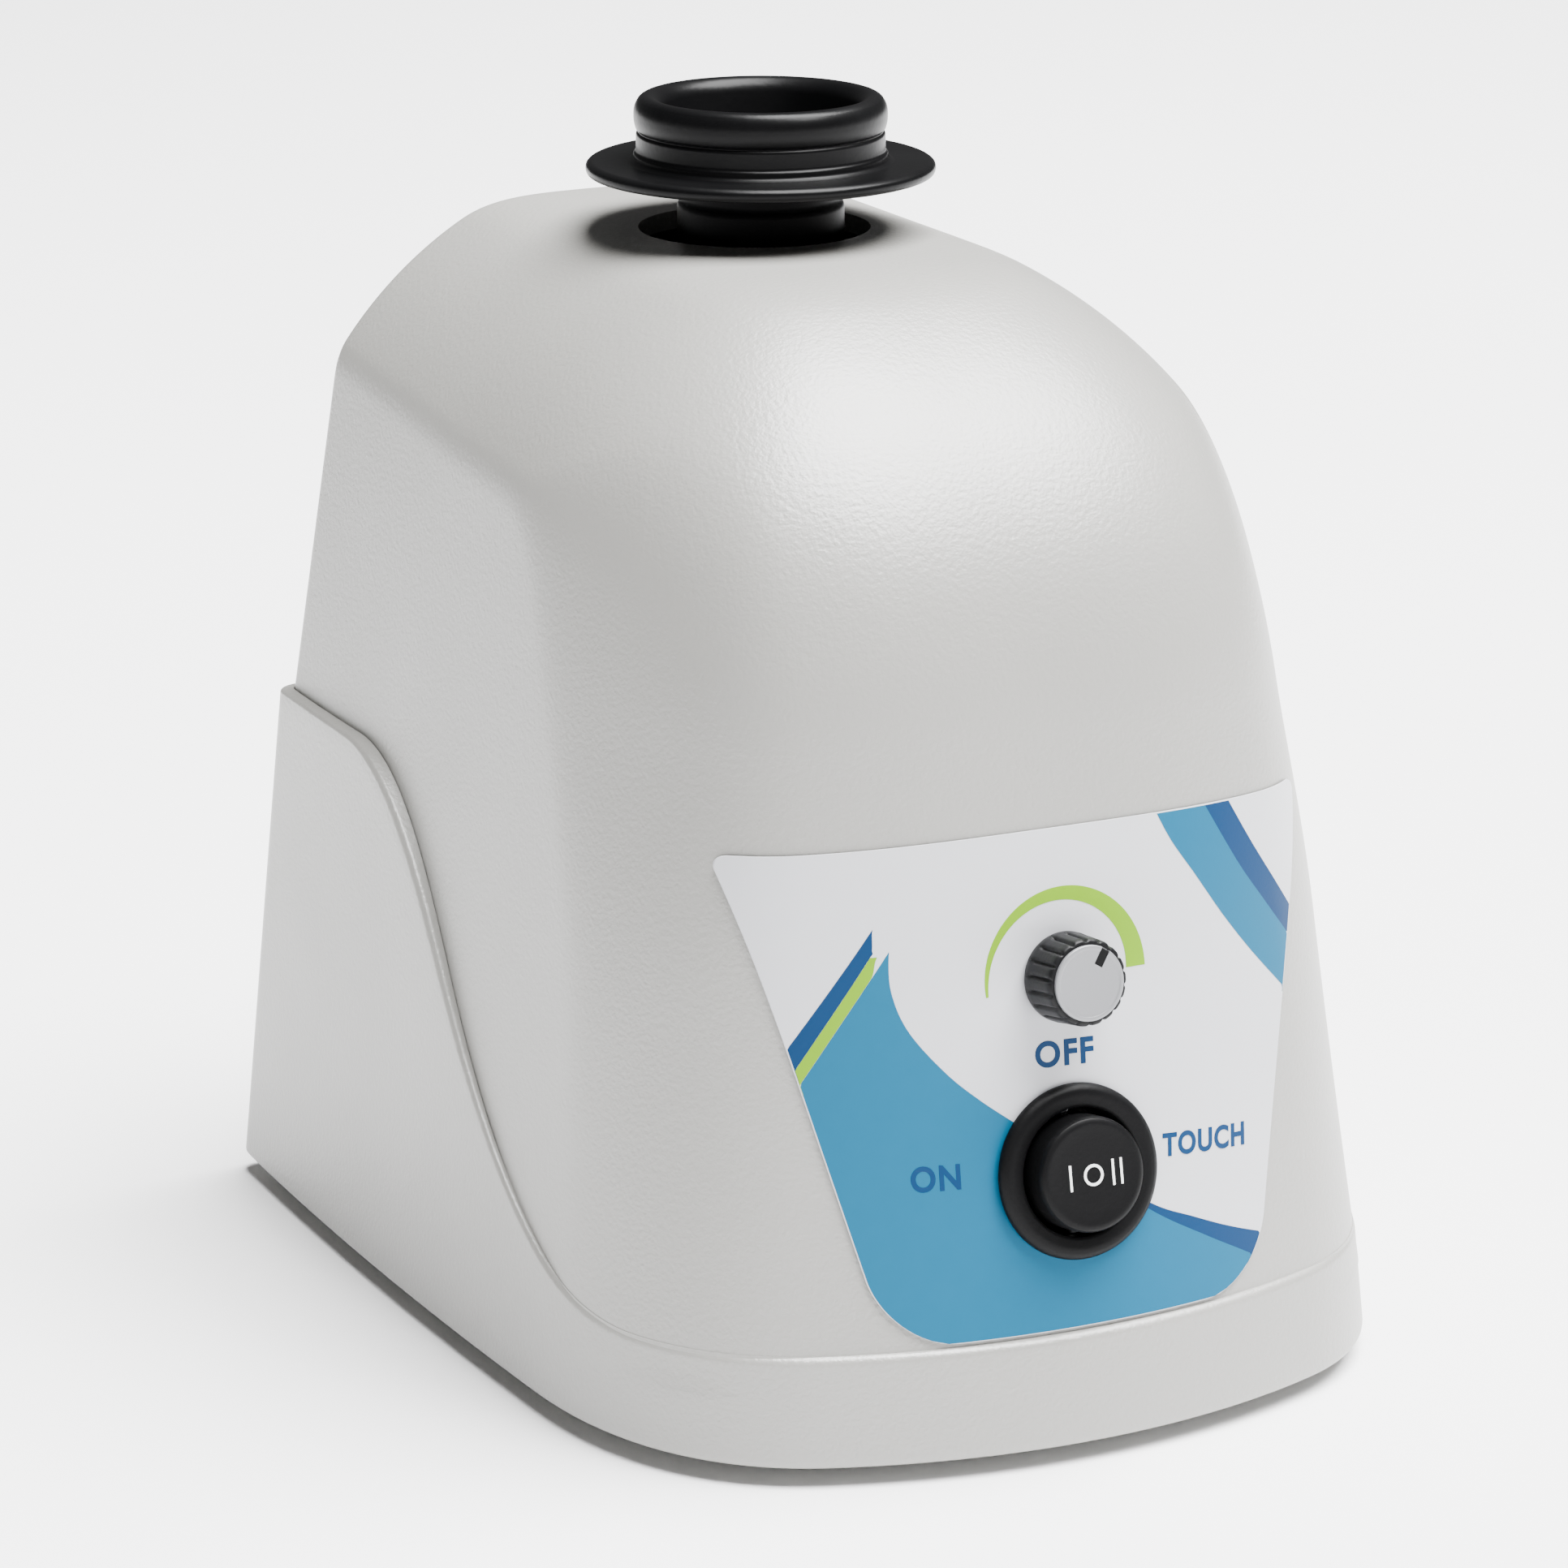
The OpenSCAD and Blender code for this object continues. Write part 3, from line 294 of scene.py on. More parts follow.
def settle(made, smooth_angle=32):
    """Puts the result of the object's modifiers into its mesh."""
    graph = bpy.context.evaluated_depsgraph_get()
    mesh = bpy.data.meshes.new_from_object(made.evaluated_get(graph))
    made.modifiers.clear()
    made.data = mesh
    mesh.shade_smooth()
    mesh.set_sharp_from_angle(angle=math.radians(smooth_angle))


def combine(made, tools, operation):
    """Cuts the tools out of the piece, or joins them to it, and removes them."""
    for tool in tools:
        step = made.modifiers.new(operation, "BOOLEAN")
        step.operation = operation
        step.solver = "MANIFOLD"
        step.object = tool
    settle(made)
    for tool in tools:
        bpy.data.objects.remove(tool)


def soften(made, width, segments=3, angle=40):
    """Rounds the piece's edges."""
    step = made.modifiers.new("soften", "BEVEL")
    step.width = width * MM
    step.segments = segments
    step.limit_method = "ANGLE"
    step.angle_limit = math.radians(angle)
    step.use_clamp_overlap = True
    settle(made)


def show(made, body, slot, used, *nodes):
    """Gives a piece its finish and body, and hides the CAD nodes that it stands for. slot is not used."""
    made.data.materials.clear()
    made.data.materials.append(used)
    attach(made, body)
    if nodes:
        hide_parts(*nodes)
    return made


def ring_quads(rings, columns, closed=False):
    count = rings if closed else rings - 1
    i, j = np.meshgrid(np.arange(count), np.arange(columns), indexing="ij")
    k, n = (j + 1) % columns, (i + 1) % rings
    return np.stack([i * columns + j, i * columns + k, n * columns + k, n * columns + j], -1).reshape(-1, 4)


def rounded(outline, steps=5, closed=True):
    """Outline points (x, y) or (x, y, cut), where cut rounds that corner off over its length."""
    result, count = [], len(outline)
    for i, corner in enumerate(outline):
        point = np.array(corner[:2], float)
        if len(corner) < 3 or (not closed and i in (0, count - 1)):
            result.append(point)
            continue
        before = np.array(outline[i - 1][:2], float) - point
        after = np.array(outline[(i + 1) % count][:2], float) - point
        a = point + before / np.linalg.norm(before) * corner[2]
        b = point + after / np.linalg.norm(after) * corner[2]
        for s in range(steps + 1):
            t = s / steps
            result.append(a * (1 - t) ** 2 + point * 2 * t * (1 - t) + b * t * t)
    return np.array(result)


def revolve(name, outline, place=Matrix.Identity(4), segments=96, steps=5):
    """Solid turned round local Z from an outline of (radius, height), which is closed or ends on the axis."""
    line = rounded(outline, steps, closed=outline[0][0] > 0)
    on_axis = line[0][0] < TINY
    angles = np.arange(segments) * 2 * math.pi / segments
    middle = line[1:-1] if on_axis else line
    points = np.stack([middle[:, :1] * np.cos(angles), middle[:, :1] * np.sin(angles),
                       middle[:, 1:] + 0 * angles], -1).reshape(-1, 3)
    faces = ring_quads(len(middle), segments, not on_axis).tolist()
    if on_axis:
        last = len(points)
        points = np.vstack([points, [0, 0, line[0][1]], [0, 0, line[-1][1]]])
        top = (len(middle) - 1) * segments
        for j in range(segments):
            k = (j + 1) % segments
            faces.append([last, k, j])
            faces.append([last + 1, top + j, top + k])
    return new_object(name, points, faces, place)


def prism(name, outline, low, high, place=Matrix.Identity(4), steps=5):
    """Solid of an outline (x, y) between two heights."""
    line = rounded(outline, steps)
    count = len(line)
    points = np.vstack([np.c_[line, np.full(count, low)], np.c_[line, np.full(count, high)]])
    faces = [list(range(count))[::-1], list(range(count, 2 * count))]
    faces += [[j, (j + 1) % count, count + (j + 1) % count, count + j] for j in range(count)]
    return new_object(name, points, faces, place)


def slab(x0, x1, y0, y1, z0, z1, place=Matrix.Identity(4), name="tool"):
    return prism(name, [(x0, y0), (x1, y0), (x1, y1), (x0, y1)], z0, z1, place)


def cylinder(radius, low, high, place=Matrix.Identity(4), x=0, y=0, segments=64):
    return revolve("tool", [(0, low), (radius, low), (radius, high), (0, high)],
                   place @ Matrix.Translation((x, y, 0)), segments)


def sheet_slab(name, lower, upper):
    """Closed thin solid between two grids of points with the same rows and columns."""
    rows, columns = upper.shape[:2]
    faces = []
    top = rows * columns
    for i in range(rows - 1):
        for j in range(columns - 1):
            a = i * columns + j
            faces.append([a, a + 1, a + columns + 1, a + columns])
            faces.append([top + a, top + a + columns, top + a + columns + 1, top + a + 1])
    rim = ([j for j in range(columns)] + [i * columns + columns - 1 for i in range(1, rows)]
           + [(rows - 1) * columns + j for j in range(columns - 2, -1, -1)]
           + [i * columns for i in range(rows - 2, 0, -1)])
    faces += [[a, top + a, top + b, b] for a, b in zip(rim, rim[1:] + rim[:1])]
    return new_object(name, np.vstack([lower.reshape(-1, 3), upper.reshape(-1, 3)]), faces)


def spline(points, steps):
    """Smooth path through given points."""
    p = np.array(points, float)
    path = []
    for i in range(len(p) - 1):
        a, b, c, d = p[max(i - 1, 0)], p[i], p[i + 1], p[min(i + 2, len(p) - 1)]
        for s in range(steps):
            t = s / steps
            path.append(0.5 * (2 * b + (c - a) * t + (2 * a - 5 * b + 4 * c - d) * t * t
                               + (3 * b - a - 3 * c + d) * t ** 3))
    return np.array(path + [p[-1]])


def sweep(name, path, radius, sides, up):
    """Round tube along a path, closed at both ends."""
    along = np.gradient(path, axis=0)
    along /= np.linalg.norm(along, axis=1)[:, None]
    across = np.cross(along, up)
    across /= np.linalg.norm(across, axis=1)[:, None]
    rise = np.cross(across, along)
    turn = np.arange(sides) * 2 * math.pi / sides
    points = (path[:, None] + radius * (np.cos(turn)[None, :, None] * across[:, None]
                                        + np.sin(turn)[None, :, None] * rise[:, None]))
    faces = ring_quads(len(path), sides).tolist()
    last = (len(path) - 1) * sides
    faces += [list(range(sides))[::-1], [last + j for j in range(sides)]]
    return new_object(name, points, faces)


# ---------------------------------------------------------------- finishes


def finish(name, colour, rough=0.45, metal=0.0, spread=0.05, grain=1400, depth=0.12, stretch=(1, 1, 1),
           tone=70, coat=0.0, rings=0.0, gloss=0.5):
    """Principled surface: fine grain as bump, and slow changes of colour and roughness.

    spread is how far the colour varies, grain and tone are the scales of the fine and the slow noise, depth
    is the strength of the grain, and rings adds bands of that many metres along Z, as on windings."""
    made = bpy.data.materials.new(name)
    made.use_nodes = True
    tree = made.node_tree
    shader = tree.nodes["Principled BSDF"]
    place = tree.nodes.new("ShaderNodeTexCoord")
    scale = tree.nodes.new("ShaderNodeMapping")
    scale.inputs["Scale"].default_value = stretch
    tree.links.new(place.outputs["Object"], scale.inputs["Vector"])
    slow = tree.nodes.new("ShaderNodeTexNoise")
    slow.inputs["Scale"].default_value = tone
    slow.inputs["Detail"].default_value = 4
    fine = tree.nodes.new("ShaderNodeTexNoise")
    fine.inputs["Scale"].default_value = grain
    fine.inputs["Detail"].default_value = 3
    for noise in (slow, fine):
        tree.links.new(scale.outputs["Vector"], noise.inputs["Vector"])
    mix = tree.nodes.new("ShaderNodeMix")
    mix.data_type = "RGBA"
    mix.inputs["A"].default_value = [c * (1 - spread) for c in colour] + [1]
    mix.inputs["B"].default_value = [min(c * (1 + spread), 1) for c in colour] + [1]
    blend = tree.nodes.new("ShaderNodeMath")
    blend.operation = "ADD"
    blend.use_clamp = True
    speckle, speckle_share = tree.nodes.new("ShaderNodeMath"), 0.6
    speckle.operation = "MULTIPLY_ADD"
    speckle.inputs[1].default_value = speckle_share
    speckle.inputs[2].default_value = -speckle_share / 2
    tree.links.new(fine.outputs["Fac"], speckle.inputs[0])
    tree.links.new(slow.outputs["Fac"], blend.inputs[0])
    tree.links.new(speckle.outputs[0], blend.inputs[1])
    tree.links.new(blend.outputs[0], mix.inputs["Factor"])
    tree.links.new(mix.outputs["Result"], shader.inputs["Base Color"])
    shine = tree.nodes.new("ShaderNodeMapRange")
    shine.inputs["To Min"].default_value = max(rough - 0.08, 0.05)
    shine.inputs["To Max"].default_value = min(rough + 0.08, 1)
    tree.links.new(slow.outputs["Fac"], shine.inputs["Value"])
    tree.links.new(shine.outputs["Result"], shader.inputs["Roughness"])
    bump = tree.nodes.new("ShaderNodeBump")
    bump.inputs["Strength"].default_value = depth
    bump.inputs["Distance"].default_value = 0.0002
    tree.links.new(fine.outputs["Fac"], bump.inputs["Height"])
    if rings:
        band = tree.nodes.new("ShaderNodeTexWave")
        band.bands_direction = "Z"
        bands_per_metre = 3.2  # at a scale of 1
        band.inputs["Scale"].default_value = 1 / rings / bands_per_metre
        band.inputs["Distortion"].default_value = 0.2
        tree.links.new(place.outputs["Object"], band.inputs["Vector"])
        ridge = tree.nodes.new("ShaderNodeBump")
        ridge.inputs["Strength"].default_value = 0.6
        ridge.inputs["Distance"].default_value = 0.0003
        tree.links.new(band.outputs["Fac"], ridge.inputs["Height"])
        tree.links.new(bump.outputs["Normal"], ridge.inputs["Normal"])
        bump = ridge
    tree.links.new(bump.outputs["Normal"], shader.inputs["Normal"])
    shader.inputs["Metallic"].default_value = metal
    shader.inputs["Specular IOR Level"].default_value = gloss
    shader.inputs["Coat Weight"].default_value = coat
    return made


def ink(name, colour, spread):
    """Ink printed on the film: matt, with a very fine even grain."""
    return finish(name, colour, 0.40, gloss=0.15, spread=spread, grain=2600, depth=0.06, tone=500)


BRUSHED = (1, 1, 14)
TURNED = (1, 1, 0.05)

HOUSING = finish("moulded_housing", (0.250, 0.246, 0.232), 0.38, gloss=0.9, spread=0.025, grain=1500,
                 depth=0.45, tone=25)
FILM = finish("silver_film", (0.47, 0.475, 0.50), 0.36, spread=0.015, grain=2600, depth=0.06, tone=300)
CYAN = ink("cyan_ink", (0.0, 0.085, 0.165), 0.03)
BLUE = ink("blue_ink", (0.0, 0.024, 0.080), 0.04)
LIME = ink("lime_ink", (0.14, 0.29, 0.0), 0.03)
WHITE = finish("white_mark", (0.80, 0.81, 0.80), 0.40, spread=0.03, grain=2600, depth=0.05)
RUBBER = finish("cup_rubber", (0.002, 0.002, 0.0022), 0.34, gloss=0.1, spread=0.25, grain=1100, depth=0.10,
                tone=90)
NECK = finish("neck_plastic", (0.002, 0.002, 0.0022), 0.40, gloss=0.05, spread=0.2, grain=900, depth=0.08)
ROCKER = finish("rocker_plastic", (0.003, 0.003, 0.0033), 0.44, gloss=0.08, spread=0.2, grain=2200,
                depth=0.12)
KNOB = finish("knob_plastic", (0.004, 0.004, 0.0045), 0.42, gloss=0.15, spread=0.2, grain=2000, depth=0.10)
DISC = finish("knob_disc", (0.21, 0.212, 0.222), 0.42, metal=0.35, spread=0.03, grain=3200, depth=0.10)
POINTER = finish("pointer_paint", (0.003, 0.003, 0.0033), 0.5, gloss=0.1, spread=0.2, grain=2400, depth=0.1)
BLACK = finish("black_plastic", (0.008, 0.008, 0.009), 0.45, gloss=0.2, spread=0.2, grain=1500, depth=0.18)
FOOT = finish("foot_rubber", (0.008, 0.008, 0.0085), 0.75, gloss=0.2, spread=0.3, grain=900, depth=0.3)
STEEL = finish("steel", (0.55, 0.56, 0.58), 0.28, metal=1, spread=0.06, stretch=BRUSHED, grain=700,
               depth=0.06)
ZINC = finish("zinc_plate", (0.50, 0.51, 0.54), 0.38, metal=1, spread=0.14, tone=220, grain=900, depth=0.10)
SPRING = finish("spring_steel", (0.42, 0.42, 0.45), 0.25, metal=1, spread=0.08, depth=0.05)
BEARING = finish("bearing_steel", (0.60, 0.61, 0.64), 0.16, metal=1, spread=0.04, stretch=TURNED, depth=0.04)
LAMINATION = finish("laminations", (0.26, 0.26, 0.28), 0.45, metal=0.9, spread=0.12, rings=0.001)
IRON = finish("cast_iron", (0.10, 0.105, 0.115), 0.60, metal=0.4, spread=0.25, grain=600, depth=0.5)
ALUMINIUM = finish("aluminium", (0.62, 0.63, 0.65), 0.35, metal=1, spread=0.06, stretch=BRUSHED, depth=0.08)
CAN = finish("motor_can", (0.44, 0.45, 0.48), 0.34, metal=1, spread=0.08, stretch=(1, 1, 0.1), depth=0.10)
COPPER = finish("copper_winding", (0.55, 0.20, 0.07), 0.30, metal=0.9, spread=0.2, rings=0.0006)
BRASS = finish("brass", (0.62, 0.43, 0.14), 0.30, metal=1, spread=0.08, depth=0.06)
NYLON = finish("nylon", (0.72, 0.70, 0.62), 0.40, spread=0.05, depth=0.08)
BOARD = finish("board_green", (0.012, 0.115, 0.045), 0.32, spread=0.35, tone=420, grain=1200, depth=0.08,
               coat=0.3)
YELLOW = finish("capacitor_yellow", (0.72, 0.42, 0.03), 0.32, spread=0.06, depth=0.06)
SLEEVE = finish("capacitor_sleeve", (0.015, 0.025, 0.09), 0.30, spread=0.15, depth=0.05)
TERMINAL = finish("terminal_green", (0.03, 0.24, 0.09), 0.40, spread=0.08, depth=0.10)
RED = finish("plunger_red", (0.55, 0.04, 0.03), 0.40, spread=0.08, depth=0.06)
FUSE = finish("fuse_glass", (0.70, 0.74, 0.76), 0.12, metal=0.2, spread=0.12, tone=400, depth=0.03, coat=0.6)
LEAD = finish("lead_insulation", (0.04, 0.09, 0.36), 0.38, spread=0.08, depth=0.08)
LEAD_BROWN = finish("lead_brown", (0.17, 0.07, 0.03), 0.38, spread=0.08, depth=0.08)

# ---------------------------------------------------------------- housing shells


def denser(low, high, count, spots, width, gain):
    """Angles from low to high, closer together near the spots."""
    x = np.linspace(low, high, 4001)
    weight = 1 + sum(gain * np.exp(-((x - s) / width) ** 2) for s in spots)
    total = np.concatenate([[0], np.cumsum((weight[1:] + weight[:-1]) / 2)])
    return np.interp(np.linspace(0, total[-1], count), total, x)


COLUMNS = 440
ROWS_OUT, ROWS_IN = 56, 18
SCREW_PLACES = [(sx * boss_x, y) for sx in (-1, 1) for y in (boss_front_y, boss_rear_y)]
FOOT_PLACES = [(sx * foot_x, y) for sx in (-1, 1) for y in (foot_front_y, foot_rear_y)]


def shell_angles():
    """Directions round the head axis, closer together at the two rear corners."""
    return np.radians(denser(-90, 270, COLUMNS + 1, (corner_a, 180 - corner_a), 5, 2.2)[:-1])


def upper_rises(foot, edge, top, rows):
    """Elevations up one column, closer together near the edge between wall and dome."""
    t = (np.arange(rows + 1) / rows)[:, None] ** 1.35
    below = edge - (edge - foot) * t[::-1]
    above = edge + (top - edge) * t[1:]
    return np.concatenate([below, above])


def upper_surface(angles, foot_z_at, off, edge, rows):
    foot = at_height(angles, foot_z_at, False, off) - np.array([0, head_y, eye_z])
    low = np.arctan2(foot[:, 2], np.hypot(foot[:, 0], foot[:, 1]))
    high = np.full_like(low, math.atan2(pad_z + off - eye_z, hole_r))
    rises = upper_rises(low, edge, high, rows)
    way = ray(np.broadcast_to(angles, rises.shape), rises)
    start = np.array([0, head_y, eye_z]) + 0 * way
    return start + way * reach(start, way, False, off)[..., None]


def housing_bosses():
    """Posts for the housing screws, each with a web to the wall, and two for the potentiometer board."""
    tools = []
    for x, y in SCREW_PLACES:
        tools.append(cylinder(3.5, floor_top + 0.1, boss_top, x=x, y=y, segments=40))
        inner, outer = sorted((x, math.copysign(boss_web_x, x)))
        tools.append(slab(inner, outer, y - 1, y + 1, boss_top - 16, boss_top - 0.5))
    for x in (-pot_screw_x, pot_screw_x):
        tools.append(cylinder(2.8, -14.58, -2, KNOB_PLACE, x=x, segments=32))
    return tools


def housing_holes():
    """Panel holes for the knob's shaft and the rocker, and the bores of the posts."""
    tools = [cylinder(shaft_hole_r, -12, 10, KNOB_PLACE)]
    tools.append(cylinder(body_r, -12, 10, ROCKER_PLACE, segments=96))
    for x, y in SCREW_PLACES:
        tools.append(cylinder(1.62, 0, floor_top + 20, x=x, y=y, segments=24))
    for x in (-pot_screw_x, pot_screw_x):
        tools.append(cylinder(1.2, -16, -7, KNOB_PLACE, x=x, segments=24))
    return tools


def upper_housing():
    angles = shell_angles()
    foot = lip_z(angles) - tongue
    edge = edge_rise(angles)
    outer = upper_surface(angles, foot, 0, edge, ROWS_OUT)
    inner = upper_surface(angles, foot, -wall, edge, ROWS_IN)[::-1]
    rings = np.concatenate([outer, inner])
    shell = new_object("upper_housing_moulding", rings, ring_quads(len(rings), COLUMNS, True).tolist())
    combine(shell, housing_bosses(), "UNION")
    combine(shell, housing_holes(), "DIFFERENCE")
    return show(shell, "chassis", "housing_plastic", HOUSING, "upper_housing")


def turned(angles, z):
    """Directions towards the tub, whose rear corners drift with height because it leans."""
    a = np.degrees(angles)
    y = rear_y - rear_lean_low * z
    c = np.degrees(np.arctan2(y - head_y, side_x(y, z, True)))
    rear = 90 + (a - 90) * (90 - c) / (90 - corner_a)
    left = 180 - (180 - a) * c / corner_a
    bent = np.where(a < corner_a, a * c / corner_a, np.where(a > 180 - corner_a, left, rear))
    return np.radians(np.where((a < 0) | (a > 180), a, bent))


def tub_holes():
    """Opening for the inlet in the rear wall, and the screw holes of the feet, the housings and the inlet."""
    tools = [slab(-13.7, 13.7, -15.7, 15.7, -8, 8, REAR_PLACE)]
    tools += [cylinder(1.8, -1, floor_top + 1, x=x, y=y, segments=24) for x, y in FOOT_PLACES]
    tools += [cylinder(1.9, -1, floor_top + 1, x=x, y=y, segments=24) for x, y in SCREW_PLACES]
    tools += [cylinder(1.42, -8, 8, REAR_PLACE, x=x, segments=24) for x in (-inlet_screw_x, inlet_screw_x)]
    return tools


def lower_housing():
    angles = shell_angles()
    lips = lip_z(angles)

    def ring(z, tub, off):
        z = z + np.zeros_like(angles)
        return at_height(turned(angles, z), z, tub, off)
    brow = ring(lips, True, 0)
    step = np.roll(brow, -1, 0) - np.roll(brow, 1, 0)
    steep = np.sqrt(1 + (step[:, 2] / np.hypot(step[:, 0], step[:, 1])) ** 2)
    foot_round = 0.9
    lip_round = 1.1 - 0.6 * ramp(brow[:, 1], 5, 45)
    rings = [ring(foot_z + foot_round * (1 - math.sin(t)), True, -foot_round * (1 - math.cos(t)))
             for t in np.linspace(math.pi / 2, 0, 5)]
    low, high = foot_z + foot_round, lips - lip_round * steep
    rings += [ring(low + (high - low) * t, True, 0) for t in np.linspace(0, 1, 34)[1:-1]]
    rings += [ring(lips - lip_round * steep * (1 - math.sin(t)), True, -lip_round * (1 - math.cos(t)))
              for t in np.linspace(0, math.pi / 2, 7)]
    rings.append(ring(lips, False, tongue_gap))
    drop = lips - tongue - 0.3
    rings += [ring(drop, False, tongue_gap), ring(drop, True, -tub_wall)]
    rings += [ring(floor_top + (drop - floor_top) * t, True, -tub_wall) for t in np.linspace(1, 0, 8)[1:]]
    rings = np.array(rings)
    count = len(rings)
    faces = ring_quads(count, COLUMNS).tolist()
    points = np.vstack([rings.reshape(-1, 3), [0, head_y, foot_z], [0, head_y, floor_top]])
    last, top = count * COLUMNS, (count - 1) * COLUMNS
    for j in range(COLUMNS):
        k = (j + 1) % COLUMNS
        faces.append([last, k, j])
        faces.append([last + 1, top + j, top + k])
    tub = new_object("base_tub_moulding", points, faces)
    combine(tub, tub_holes(), "DIFFERENCE")
    return show(tub, "chassis", "housing_plastic", HOUSING, "lower_housing")


# ---------------------------------------------------------------- printed film on the panel


def film_half(z):
    w = film_foot_half + (film_top_half - film_foot_half) * (z - film_low) / (film_high - film_low)
    d = np.maximum(film_corner - (z - film_low), 0)
    e = np.maximum(film_corner_top - (film_high - z), 0)
    return (w - film_corner + np.sqrt(np.maximum(film_corner ** 2 - d * d, 0))
            - film_corner_top + np.sqrt(np.maximum(film_corner_top ** 2 - e * e, 0)))


def left_extra(z):
    return film_left * (z - film_low) / (film_high - film_low)


def on_panel(x, z, off):
    return np.stack([x, front_at(x, z, off), z], -1)


def panel_band(name, left, right, z_values, columns, low_off, high_off):
    """Thin solid on the panel between two edges, each an x for each height, with its top corners drooping."""
    t = np.linspace(0, 1, columns + 1)
    z = np.asarray(z_values, float)[:, None] + 0 * t
    left, right = np.asarray(left, float)[:, None], np.asarray(right, float)[:, None]
    x = left + (np.maximum(right, left + 0.05) - left) * t
    z = z - film_droop * (x / film_top_half) ** 2 * ramp(z, 56, film_high)
    return sheet_slab(name, on_panel(x, z, low_off), on_panel(x, z, high_off))


def edge_line(points):
    """x as a smooth function of height, through points (x, z)."""
    path = spline(np.array(points, float), 12)
    path = path[np.argsort(path[:, 1])]
    return lambda z: np.interp(z, path[:, 1], path[:, 0])


FILM_TOP = film_gap + film_t
INK_LOW, INK_HIGH = FILM_TOP - 0.06, FILM_TOP + 0.03
EDGE_MARGIN = 0.12


def cut_panel_holes(made, knob=True):
    tools = [cylinder(body_r, -12, 10, ROCKER_PLACE, segments=96)]
    if knob:
        tools.append(cylinder(shaft_hole_r, -12, 10, KNOB_PLACE))
    combine(made, tools, "DIFFERENCE")


def panel_film():
    t = (1 - np.cos(np.linspace(0, math.pi, 141))) / 2
    z = film_low + (film_high - film_low) * t
    film = panel_band("panel_film", -film_half(z) - left_extra(z), film_half(z), z, 90, film_gap, FILM_TOP)
    cut_panel_holes(film)
    return show(film, "chassis", "film", FILM, "panel_overlay")


def ink_band(name, left, right, low, high, finish_used, rows=60, columns=24, cut=False):
    """Printed shape between two edges, kept inside the film."""
    z = np.linspace(low, high, rows + 1)
    limit = film_half(z) - EDGE_MARGIN
    a = np.clip(left(z), -limit - left_extra(z), limit)
    b = np.clip(right(z), -limit - left_extra(z), limit)
    ink = panel_band(name, a, b, z, columns, INK_LOW, INK_HIGH)
    if cut:
        cut_panel_holes(ink, False)
    return show(ink, "chassis", "film", finish_used)


def panel_graphics():
    # the cyan field, with its concave edge that runs behind the rocker switch
    tip_z, foot = 68.2, film_low + EDGE_MARGIN
    field = edge_line([(-23.6, tip_z), (-23.6, 63.2), (-21.7, 57.8), (-17.2, 52.1), (-12.8, 48.1),
                       (-7.9, 44.4), (1, 37.9), (10.8, 30.5), (18.9, 25.8), (25.2, 22.4), (28.4, 20.5),
                       (40, 14)])
    slope = edge_line([(-23.6, tip_z), (-35.7, 51.4), (-60, 17)])
    ink_band("print_cyan_field", slope, field, foot, tip_z, CYAN, 90, 70, cut=True)
    # the dark sweep under the field's right end
    crest = edge_line([(1, 37.9), (10.9, 31.4), (17.1, 28.6), (23.3, 26), (30.1, 23.6), (40, 20.4)])
    ink_band("print_blue_sweep", field, crest, 20.6, 33, BLUE, 40, 20, cut=True)
    # two stripes that meet the film's left edge
    split = edge_line([(-25.5, 71.3), (-25.7, 68.3), (-26.6, 66.8), (-36.5, 52.8), (-40, 47.9)])
    ink_band("print_lime_stripe", split, lambda z: slope(z) - 0.05 - 1.1 * ramp(z, 64.8, 67.9),
             50.3, 67.7, LIME, 50, 6)
    ink_band("print_blue_stripe", edge_line([(-25.5, 71.3), (-37.2, 55.6), (-40, 51.8)]),
             lambda z: split(z) - 0.04, 52, 71.3, BLUE, 50, 6)
    # two bands across the top right corner
    top = film_high - EDGE_MARGIN
    band = edge_line([(15.4, 81.8), (17.6, 77.6), (21, 72.8), (25.6, 66.3), (30.6, 60.2), (37.2, 53.2),
                      (40, 50.3)])
    seam = edge_line([(23.2, 81.8), (28.5, 73.1), (32.7, 67.4), (37.5, 61.2), (42, 55.4)])
    ink_band("print_cyan_band", band, seam, 54, top, CYAN, 60, 14)
    ink_band("print_blue_band", seam, edge_line([(27.3, 81.8), (31.7, 74.6), (38, 65.3), (42, 59.4)]),
             61.6, top, BLUE, 50, 10)


def speed_arc():
    """Green arc round the knob, thin at its left end and broad at its right."""
    t = np.linspace(0, 1, 97)[:, None]
    angle = np.radians(187 - 188 * t)
    outer = 11.6 + 0.2 * t
    inner = outer - 0.35 - 2.55 * t ** 0.9
    s = np.linspace(0, 1, 7)
    radius = outer + (inner - outer) * s
    x = 0.5 + radius * np.cos(angle)
    z = knob_z + radius * np.sin(angle) * KNOB_PLACE.col[1][2]
    arc = sheet_slab("print_speed_arc", on_panel(x, z, INK_LOW)[:, ::-1], on_panel(x, z, INK_HIGH)[:, ::-1])
    show(arc, "chassis", "film", LIME)


